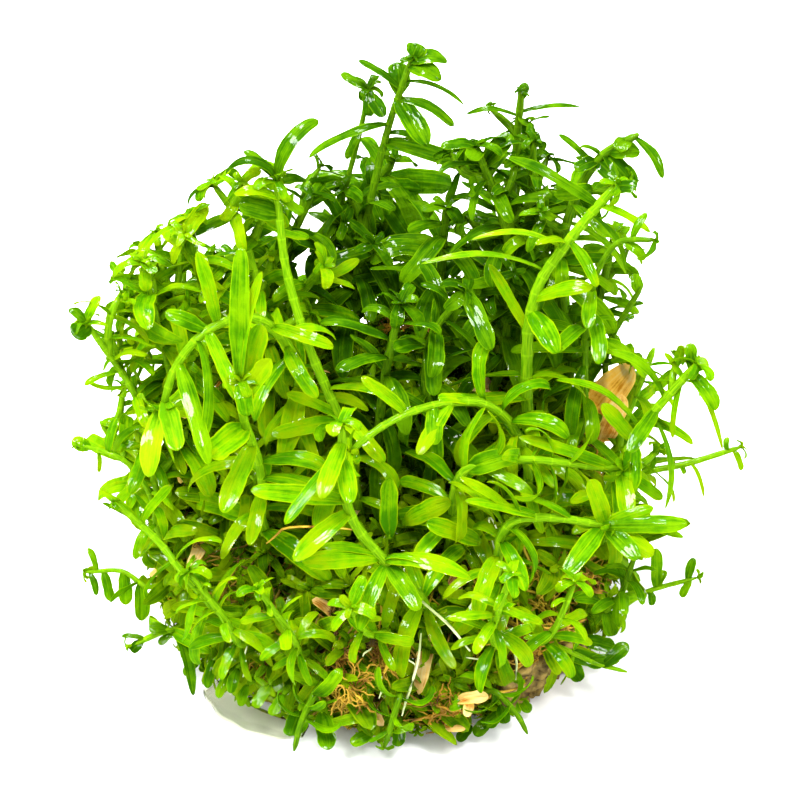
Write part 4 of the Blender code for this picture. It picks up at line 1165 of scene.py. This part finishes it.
def sprigs(ground, materials):
    """The told leaves that stand on short stems of their own, out of the undergrowth."""
    piece = Piece(31)
    forward = camera_axes()[0]
    for kind, height in SPRIG_HEIGHTS.items():
        for told in TOLD[kind]:
            surface, normal = surface_seen(ground, told.across, told.down)
            foot = surface - forward * height
            root = surface - normal * 2 * MM
            stem = Stem([root, root.lerp(foot, 0.5), foot], SPRIG_RADIUS)
            add_stem(piece, stem, [0.5], sides=SMALL_STEM_SIDES)
            told_leaf(piece, foot, told)
    piece.build("sprigs", materials, ["undergrowth"], "undergrowth")


def fibre(piece, points, radius, slot=WHITE, sides=4):
    """A thin root through points, that tapers to its ends."""
    points = np.array(points)
    count = len(points)
    ahead = np.gradient(points, axis=0)
    ahead /= np.linalg.norm(ahead, axis=1)[:, None] + 1e-12
    side = np.cross(ahead, np.array([0.31, 0.52, 0.8]))
    side /= np.linalg.norm(side, axis=1)[:, None] + 1e-12
    other = np.cross(ahead, side)
    taper = np.sin(np.linspace(0.25, math.pi - 0.25, count))[:, None] ** 0.5
    turns = np.arange(sides) * 4 * QUARTER / sides
    rings = [points + (math.cos(a) * side + math.sin(a) * other) * radius * taper for a in turns]
    places = np.zeros((count, sides, 2))
    places[:, :, 0] = piece.grown + 0.5
    places[:, :, 1] = np.linspace(0, 1, count)[:, None]
    piece.add(np.stack(rings, axis=1).reshape(-1, 3), loft(count, sides), places.reshape(-1, 2), slot)
    piece.grown += 1


def strands(piece, ground, stems):
    """The roots that hang free, and the tangles that show between the leaves."""
    rng = piece.rng
    forward = camera_axes()[0]
    for strand in STRANDS:
        shares, marks = np.linspace(0, 1, STRAND_STEPS), np.linspace(0, 1, len(strand.path))
        across, down = (np.interp(shares, marks, listed) for listed in zip(*strand.path))
        points = []
        phase = rng.uniform(0, 6)
        for step, (x, y) in enumerate(zip(across, down)):
            surface, _ = surface_seen(ground, x + math.sin(step * 0.7 + phase), y)
            points.append(surface - forward * strand.lift * MM)
        if strand.shoot:
            passed = (stems[strand.shoot].at(step / 60)[0] for step in range(61))
            start = min(passed, key=lambda at: (at - points[0]).length)
            points = [start.lerp(point, min(1, step / 5)) for step, point in enumerate(points)]
        middles = ((a + b + c) / 3 for a, b, c in zip(points, points[1:], points[2:]))
        smooth = [points[0], *middles, points[-1]]
        fibre(piece, smooth, strand.radius * STRAND_SHARE * MM, strand.kind, sides=SMALL_STEM_SIDES)
    for x, y, wide, high, kind in TANGLES:
        for _ in range(TANGLE_STRANDS):
            at = Vector((rng.uniform(-0.8, 0.8), rng.uniform(-0.8, 0.8)))
            turn = rng.uniform(0, 4 * QUARTER)
            lift = rng.uniform(0.2, 2.2) * MM
            points = []
            for _ in range(TANGLE_POINTS):
                turn += rng.uniform(-0.7, 0.7)
                at += Vector((math.cos(turn), math.sin(turn))) * 0.2
                surface, _ = surface_seen(ground, x + at.x * wide, y + at.y * high)
                point = surface - forward * lift
                if points and (point - points[-1]).length > TANGLE_STEP:
                    break
                points.append(point)
            if len(points) > 3:
                fibre(piece, points, rng.uniform(*TANGLE_RADII) * MM, kind)


def bark(ground, material):
    """A thin rough flake that lies on the mat's front right."""
    rows, columns = 26, 22
    rings = []
    middle, reach, slant = BARK
    for row in range(rows):
        down = -1 + 2 * row / (rows - 1)
        half = math.sqrt(max(0.04, 1 - down**2)) * (1 + 0.25 * noise.noise(Vector((down * 2, 3, 0))))
        top, bottom = [], []
        for column in range(columns):
            across = (-1 + 2 * column / (columns - 1)) * half
            x, y = middle[0] + across * reach[0], middle[1] + down * reach[1] - across * slant
            surface, normal = surface_seen(ground, x, y)
            lift = 0.3 + 1.0 * noise.fractal(surface / (2.5 * MM), 0.7, 2.1, 5)
            top.append(array(surface + normal * (lift + 0.6) * MM))
            bottom.append(array(surface + normal * (min(lift, 0.3) - 0.8) * MM))
        rings.append(np.array(top + bottom[::-1]))
    lofted(41, rings).build("bark", [material], ["root_mat"], "root_mat")


def gel_film(material):
    """The scrap of gel: a thin wavy film that comes out from under the mat's foot and thins outwards."""
    steps, around = 40, 10
    rings = []
    for step in range(steps):
        share = step / (steps - 1)
        azimuth = GEL_FROM + (GEL_TO - GEL_FROM) * share
        outer = GEL_INNER + (GEL_OUTER - GEL_INNER) * math.sin(math.pi * (0.04 + 0.92 * share)) ** 0.7
        outer += 0.12 * MM * math.sin(25 * share)
        inner = GEL_INNER - GEL_TUCKED
        high = GEL_THICKNESS * (0.35 + 0.1 * math.sin(7 * share + 1))
        ring = [(outer, 0)]
        for level in np.linspace(0, 1, around):
            ring.append((outer + (inner - outer) * level, 0.02 * MM + high * level**1.3))
        ring.append((inner, 0))
        way = math.cos(azimuth), math.sin(azimuth)
        rings.append(np.array([(reach * way[0], reach * way[1], FLOOR_GAP + rise) for reach, rise in ring]))
    film = lofted(51, rings).build("gel_film", [material], ["gel_scrap"], "gel")
    film.visible_shadow = False
    film.visible_diffuse = False


def root_heart(ground, material):
    """The lumpy heart of the clump: root mat below, and above it, deep among the undergrowth, a dark filler
    that paints the shade inside the clump.
    """
    bm = bmesh.new()
    bmesh.ops.create_uvsphere(bm, u_segments=120, v_segments=60, radius=1)
    heart = Vector((0, 0, CUSHION_WAIST))
    for vertex in bm.verts:
        out = vertex.co.normalized()
        surface, _ = surface_at(ground, heart, out)
        depth = 0.9 - 0.4 * min(1, max(0, out.z * 2))
        place = heart.lerp(surface, depth)
        place += out * noise.fractal(place / (5 * MM), 0.7, 2.1, 4) * 1.1 * MM
        place.z = max(place.z, 0.05 * MM)
        vertex.co = place
    mesh = bpy.data.meshes.new("root_heart")
    bm.to_mesh(mesh)
    bm.free()
    for polygon in mesh.polygons:
        polygon.use_smooth = True
    mesh.materials.append(material)
    shown("root_heart", mesh, ["root_mat"])


def root_fibres(ground, materials):
    """Brown roots that wander over the mat's side."""
    piece = Piece(21)
    rng = random.Random(5)
    heart = Vector((0, 0, CUSHION_WAIST))
    for _ in range(FIBRES):
        azimuth = rng.uniform(0, 4 * QUARTER)
        height = rng.uniform(-0.5, 0.35)
        turn = rng.uniform(0, 4 * QUARTER)
        points = []
        for _ in range(FIBRE_STEPS):
            turn += rng.uniform(-0.5, 0.5)
            azimuth += math.cos(turn) * 0.035
            height = min(max(height + math.sin(turn) * 0.04, -0.62), 0.6)
            out = Vector((math.cos(azimuth), math.sin(azimuth), height)).normalized()
            surface, _ = surface_at(ground, heart, out)
            points.append(array(heart.lerp(surface, rng.uniform(0.9, 0.97))))
        fibre(piece, points, rng.uniform(*FIBRE_RADII) * MM)
    piece.build("root_fibres", materials, ["root_mat"], "root_mat")


def camera_axes():
    """The way the camera looks, and its upward direction."""
    rise, run = math.sin(CAMERA_ELEVATION), math.cos(CAMERA_ELEVATION)
    return Vector((0, run, -rise)), Vector((0, rise, run))


def seen_at(across, down):
    """The camera's place and the way it looks at a pixel of the picture."""
    forward, upward = camera_axes()
    scale = FRAME_WIDTH / PICTURE
    sight = forward * CAMERA_DISTANCE + Vector((1, 0, 0)) * (across - PICTURE / 2) * scale
    sight += upward * (PICTURE / 2 - down) * scale
    return CAMERA_TARGET - forward * CAMERA_DISTANCE, sight.normalized()


def surface_seen(ground, across, down):
    """Where the camera sees the cushion's surface at a pixel, or nearest to there, and its normal."""
    eye, sight = seen_at(across, down)
    surface, normal, _, _ = ground.ray_cast(eye, sight)
    if surface is None:
        surface, normal, _, _ = ground.find_nearest(eye + sight * CAMERA_DISTANCE)
    return surface, normal


def pixel_of(point):
    """Where the camera sees a point."""
    forward, upward = camera_axes()
    away = point - CAMERA_TARGET + forward * CAMERA_DISTANCE
    scale = PICTURE / FRAME_WIDTH * CAMERA_DISTANCE / away.dot(forward)
    return PICTURE / 2 + away.x * scale, PICTURE / 2 - away.dot(upward) * scale


def belongs(point):
    """Whether the photographed clump has leaves where the camera sees a point."""
    across, down = pixel_of(point)
    depth = (point - CAMERA_TARGET).dot(camera_axes()[0])
    for x, y, wide, high, near in GAPS:
        if depth < near * MM and math.hypot((across - x) / wide, (down - y) / high) < 1:
            return False
    if math.hypot(across - PICTURE / 2, down - SURE_DOWN) < SURE_REACH:
        return True
    inside = False
    for (x, y), (next_x, next_y) in zip(OUTLINE, OUTLINE[1:] + OUTLINE[:1]):
        if (y > down) != (next_y > down) and across < x + (down - y) * (next_x - x) / (next_y - y):
            inside = not inside
    return inside


def is_bare(point, normal):
    """Whether a point of the undergrowth's front lies where the root mat shows."""
    across, down = pixel_of(point)
    facing = normal.dot(camera_axes()[0]) < 0
    return facing and any(math.hypot((across - x) / w, (down - y) / h) < 1 for x, y, w, h in BARE)


def new_material(name):
    material = bpy.data.materials.new(name)
    material.use_nodes = True
    tree = material.node_tree
    return material, tree, tree.nodes["Principled BSDF"]


def feed(tree, made, inputs):
    """Gives each of a node's listed inputs a value, or the socket that feeds it."""
    for key, value in inputs.items():
        if isinstance(value, bpy.types.NodeSocket):
            tree.links.new(value, made.inputs[key])
        else:
            made.inputs[key].default_value = value


def node(tree, kind, inputs=None, **settings):
    """The outputs of a new node."""
    made = tree.nodes.new("ShaderNode" + kind)
    for key, value in settings.items():
        setattr(made, key, value)
    feed(tree, made, inputs or {})
    return made.outputs


def maths(tree, operation, *values):
    return node(tree, "Math", dict(enumerate(values)), operation=operation)[0]


def speckle(tree, vector, scale, detail, roughness=0.5):
    inputs = {"Vector": vector, "Scale": scale, "Detail": detail, "Roughness": roughness}
    return node(tree, "TexNoise", inputs)[0]


def stretched(tree, vector, scale):
    return node(tree, "Mapping", {"Vector": vector, "Scale": scale})[0]


def bumped(tree, height, strength, distance):
    return node(tree, "Bump", {"Height": height, "Strength": strength, "Distance": distance})[0]


def ramp_of(tree, source, *stops):
    """Colours, or shares as grey, along a source."""
    ramp = tree.nodes.new("ShaderNodeValToRGB")
    elements = ramp.color_ramp.elements
    while len(elements) < len(stops):
        elements.new(0.5)
    for element, (position, colour) in zip(elements, stops):
        element.position = position
        element.color = (*colour, 1) if isinstance(colour, tuple) else (colour, colour, colour, 1)
    tree.links.new(source, ramp.inputs[0])
    return ramp.outputs[0]


def paler(tree, share, under, colour, by=1):
    """A share of a colour, made paler, over what lies under it."""
    over = (*[min(1, by * part) for part in colour], 1)
    return node(tree, "Mix", {0: share, 6: under, 7: over}, data_type="RGBA")[2]


def lit_through(tree, shader, colour, share):
    """Lets a share of the light through the material, in a colour."""
    glow = node(tree, "BsdfTranslucent", {0: colour})[0]
    both = node(tree, "MixShader", {0: share, 1: shader.outputs[0], 2: glow})[0]
    feed(tree, tree.nodes["Material Output"], {0: both})


def leaf_material(name, dark, middle, bright, clear, through=0.45, coat=1.0):
    """A leaf: a shade of its own, painted shade towards its foot, a paler midrib, a rim painted with glow,
    veins, mottling, a wet coat, light through it.
    """
    material, tree, shader = new_material(name)
    uv = node(tree, "UVMap", uv_map="leaf")[0]
    place = node(tree, "TexCoord")["Object"]
    split = node(tree, "SeparateXYZ", {0: uv})
    whole = maths(tree, "FLOOR", split[0])
    each = node(tree, "TexWhiteNoise", {"W": whole}, noise_dimensions="1D")["Value"]
    mottle = speckle(tree, place, 330, 5, 0.65)
    vein = speckle(tree, stretched(tree, uv, (12, 1.6, 1)), 1, 2)
    patched = maths(tree, "MULTIPLY_ADD", mottle, 2.8, -1.4)
    veined = maths(tree, "MULTIPLY_ADD", vein, 2.2, -1.1)
    # Painted shade: each leaf is darker at its foot, where it meets the stem, and lighter towards its tip.
    along = maths(tree, "MULTIPLY_ADD", split[1], 0.4, 0.0)
    own = maths(tree, "MULTIPLY_ADD", each, 0.6, along)
    shade = maths(tree, "ADD", maths(tree, "ADD", patched, veined), own)
    ramp = ramp_of(tree, shade, (0.0, dark), (0.45, middle), (1.0, bright))
    across = maths(tree, "SUBTRACT", maths(tree, "FRACT", split[0]), 0.5)
    away = maths(tree, "ABSOLUTE", across)
    # A paler midrib, which is the leaf's own colour, and a rim painted paler in the colour of light through
    # the leaf, as the glow and highlight of its thin curled edge.
    pale_rib_and_glow_rim = ramp_of(tree, away, (0.01, 0.28), (0.06, 0), (0.42, 0), (0.47, 0.75))
    pale = paler(tree, pale_rib_and_glow_rim, ramp, clear, 1.15)
    ripple = speckle(tree, place, 1000, 3)
    streak = speckle(tree, stretched(tree, uv, (5, 4, 1)), 1, 1)
    relief = maths(tree, "MULTIPLY_ADD", vein, 0.6, ripple)
    wet = maths(tree, "MULTIPLY_ADD", ripple, 0.25, streak)
    looks = {
        "Base Color": pale,
        "Roughness": 0.5,
        "Specular IOR Level": 0.02,
        "Coat Weight": coat,
        "Coat Roughness": 0.02,
        "Coat IOR": WATER_IOR,
        "Normal": bumped(tree, relief, 0.9, 0.0003),
        "Coat Normal": bumped(tree, wet, 0.5, 0.00015),
    }
    feed(tree, shader, looks)
    lit_through(tree, shader, paler(tree, 0.55, pale, clear), through)
    return material


def stem_material(name, low, high):
    """A stem: streaks along it, a paler ring at each of its nodes, a little light through it."""
    material, tree, shader = new_material(name)
    uv = node(tree, "UVMap", uv_map="leaf")[0]
    streak = speckle(tree, stretched(tree, uv, (30, 1.2, 1)), 1, 3)
    ramp = ramp_of(tree, streak, (0.3, low), (0.7, high))
    along = maths(tree, "FRACT", node(tree, "SeparateXYZ", {0: uv})[1])
    ring = ramp_of(tree, along, (0.0, 0.35), (0.05, 0), (0.9, 0), (0.98, 0.35))
    looks = {
        "Base Color": paler(tree, ring, ramp, high, 1.5),
        "Roughness": 0.45,
        "Specular IOR Level": 0.02,
        "Coat Weight": 0.5,
        "Coat Roughness": 0.08,
        "Coat IOR": WATER_IOR,
        "Normal": bumped(tree, streak, 0.8, 0.0002),
    }
    feed(tree, shader, looks)
    lit_through(tree, shader, ramp, 0.3)
    return material


def root_material(name, dark, light, scale):
    """Roots and bark: dull and patchy."""
    material, tree, shader = new_material(name)
    patch = speckle(tree, node(tree, "TexCoord")["Object"], scale, 6)
    looks = {
        "Base Color": ramp_of(tree, patch, (0.35, dark), (0.68, light)),
        "Roughness": 0.6,
        "Specular IOR Level": 0.2,
        "Normal": bumped(tree, patch, 0.6, 0.0005),
    }
    feed(tree, shader, looks)
    return material


def gel_material():
    """Clear growing gel."""
    material, tree, shader = new_material("gel_clear")
    clear = {"Roughness": 0.25, "IOR": 1.34, "Transmission Weight": 1.0}
    feed(tree, shader, {"Base Color": (0.84, 0.85, 0.66, 1), **clear})
    return material


def studio():
    """Floor, lights and camera."""
    scene = bpy.context.scene
    floor_mesh = bpy.data.meshes.new("floor")
    corners = [(x * FLOOR_REACH, y * FLOOR_REACH, 0) for x, y in ((-1, -1), (1, -1), (1, 1), (-1, 1))]
    floor_mesh.from_pydata(corners, [], [(0, 1, 2, 3)])
    floor = bpy.data.objects.new("floor", floor_mesh)
    scene.collection.objects.link(floor)
    white, tree, shader = new_material("floor_white")
    feed(tree, shader, {"Base Color": (0.95, 0.95, 0.95, 1), "Roughness": 0.9, "Specular IOR Level": 0})
    floor_mesh.materials.append(white)
    floor.visible_glossy = False
    world = bpy.data.worlds.new("studio")
    world.use_nodes = True
    feed(world.node_tree, world.node_tree.nodes["Background"], {0: (1, 1, 1, 1), 1: 1.05})
    world.cycles_visibility.glossy = False
    scene.world = world
    for name, (place, size, power, glints) in LAMPS.items():
        light = bpy.data.lights.new(name, "AREA")
        light.size = size
        light.energy = power
        lamp = bpy.data.objects.new(name, light)
        lamp.location = place
        lamp.visible_glossy = glints
        aim = Vector((0, 0, 0.03)) - Vector(place)
        lamp.rotation_euler = aim.to_track_quat("-Z", "Y").to_euler()
        scene.collection.objects.link(lamp)
    lens = bpy.data.cameras.new("camera")
    lens.sensor_width = SENSOR
    lens.lens = SENSOR * CAMERA_DISTANCE / FRAME_WIDTH
    lens.clip_start = 0.01
    camera = bpy.data.objects.new("camera", lens)
    back = Vector((0, -math.cos(CAMERA_ELEVATION), math.sin(CAMERA_ELEVATION)))
    camera.location = CAMERA_TARGET + back * CAMERA_DISTANCE
    camera.rotation_euler = (QUARTER - CAMERA_ELEVATION, 0, 0)
    scene.collection.objects.link(camera)
    scene.camera = camera
    scene.view_settings.view_transform = "Standard"


def main():
    # The deep and mid leaves are the lit leaf painted darker, as shade and half shade.
    deep, lit, low, mid, pale = (leaf_material("leaf_" + kind, *shades) for kind, shades in SHADES.items())
    dead = leaf_material("leaf_dead", *DEAD_SHADES, through=0.6, coat=0)
    stem_pale = stem_material("stem", (0.08, 0.26, 0.001), (0.26, 0.49, 0.004))
    # The darker stem is the pale one painted darker, as shade, for shoots in shade or half shade.
    stem_dark = stem_material("stem_dark", (0.04, 0.14, 0.001), (0.14, 0.3, 0.002))
    rooty = [root_material(kind, *row) for kind, row in ROOT_SHADES.items()]
    roots, fibres, white, tan, rust, barky = rooty
    clear = gel_material()
    whole = cushion()
    ground = BVHTree.FromBMesh(whole)
    obstacles = Obstacles()
    obstacles.add([vertex.co for vertex in whole.verts], ground)
    whole.free()
    shoots = SHOOTS + rear_shoots()
    rolls = [QUARTER * (TURN_STEP * index % 1) for index in range(len(shoots))]
    stems = [place_stem(shoot, roll, ground, obstacles) for shoot, roll in zip(shoots, rolls)]
    grown = []
    for index, (shoot, stem, roll) in enumerate(zip(shoots, stems, rolls)):
        grown.append(place_leaves(shoot, stem, roll, random.Random(index), obstacles))
    for index, (shoot, stem, roll, leaves) in enumerate(zip(shoots, stems, rolls, grown)):
        # Shoots in shade or half shade get leaves and a stem painted darker, as shade; the others get the lit
        # ones.
        shady = shoot.name.startswith(SHADED_SHOOTS)
        leafy = deep if shady else mid if shoot.name.startswith(HALF_SHADED_SHOOTS) else lit
        slots = [leafy, stem_pale if leafy is lit else stem_dark, deep, pale, dead, mid]
        long_shoot(shoot, stem, roll, leaves, index, slots, obstacles)
    sprigs(ground, [lit, stem_pale, deep, pale, dead, mid])
    undergrowth(ground, [low, stem_pale, dead])
    root_heart(ground, roots)
    root_fibres(ground, [fibres])
    free = Piece(61)
    strands(free, ground, {shoot.name: stem for shoot, stem in zip(shoots, stems)})
    free.build("roots_free", [white, tan, rust], ["root_mat"], "root_mat")
    bark(ground, barky)
    gel_film(clear)
    studio()


main()
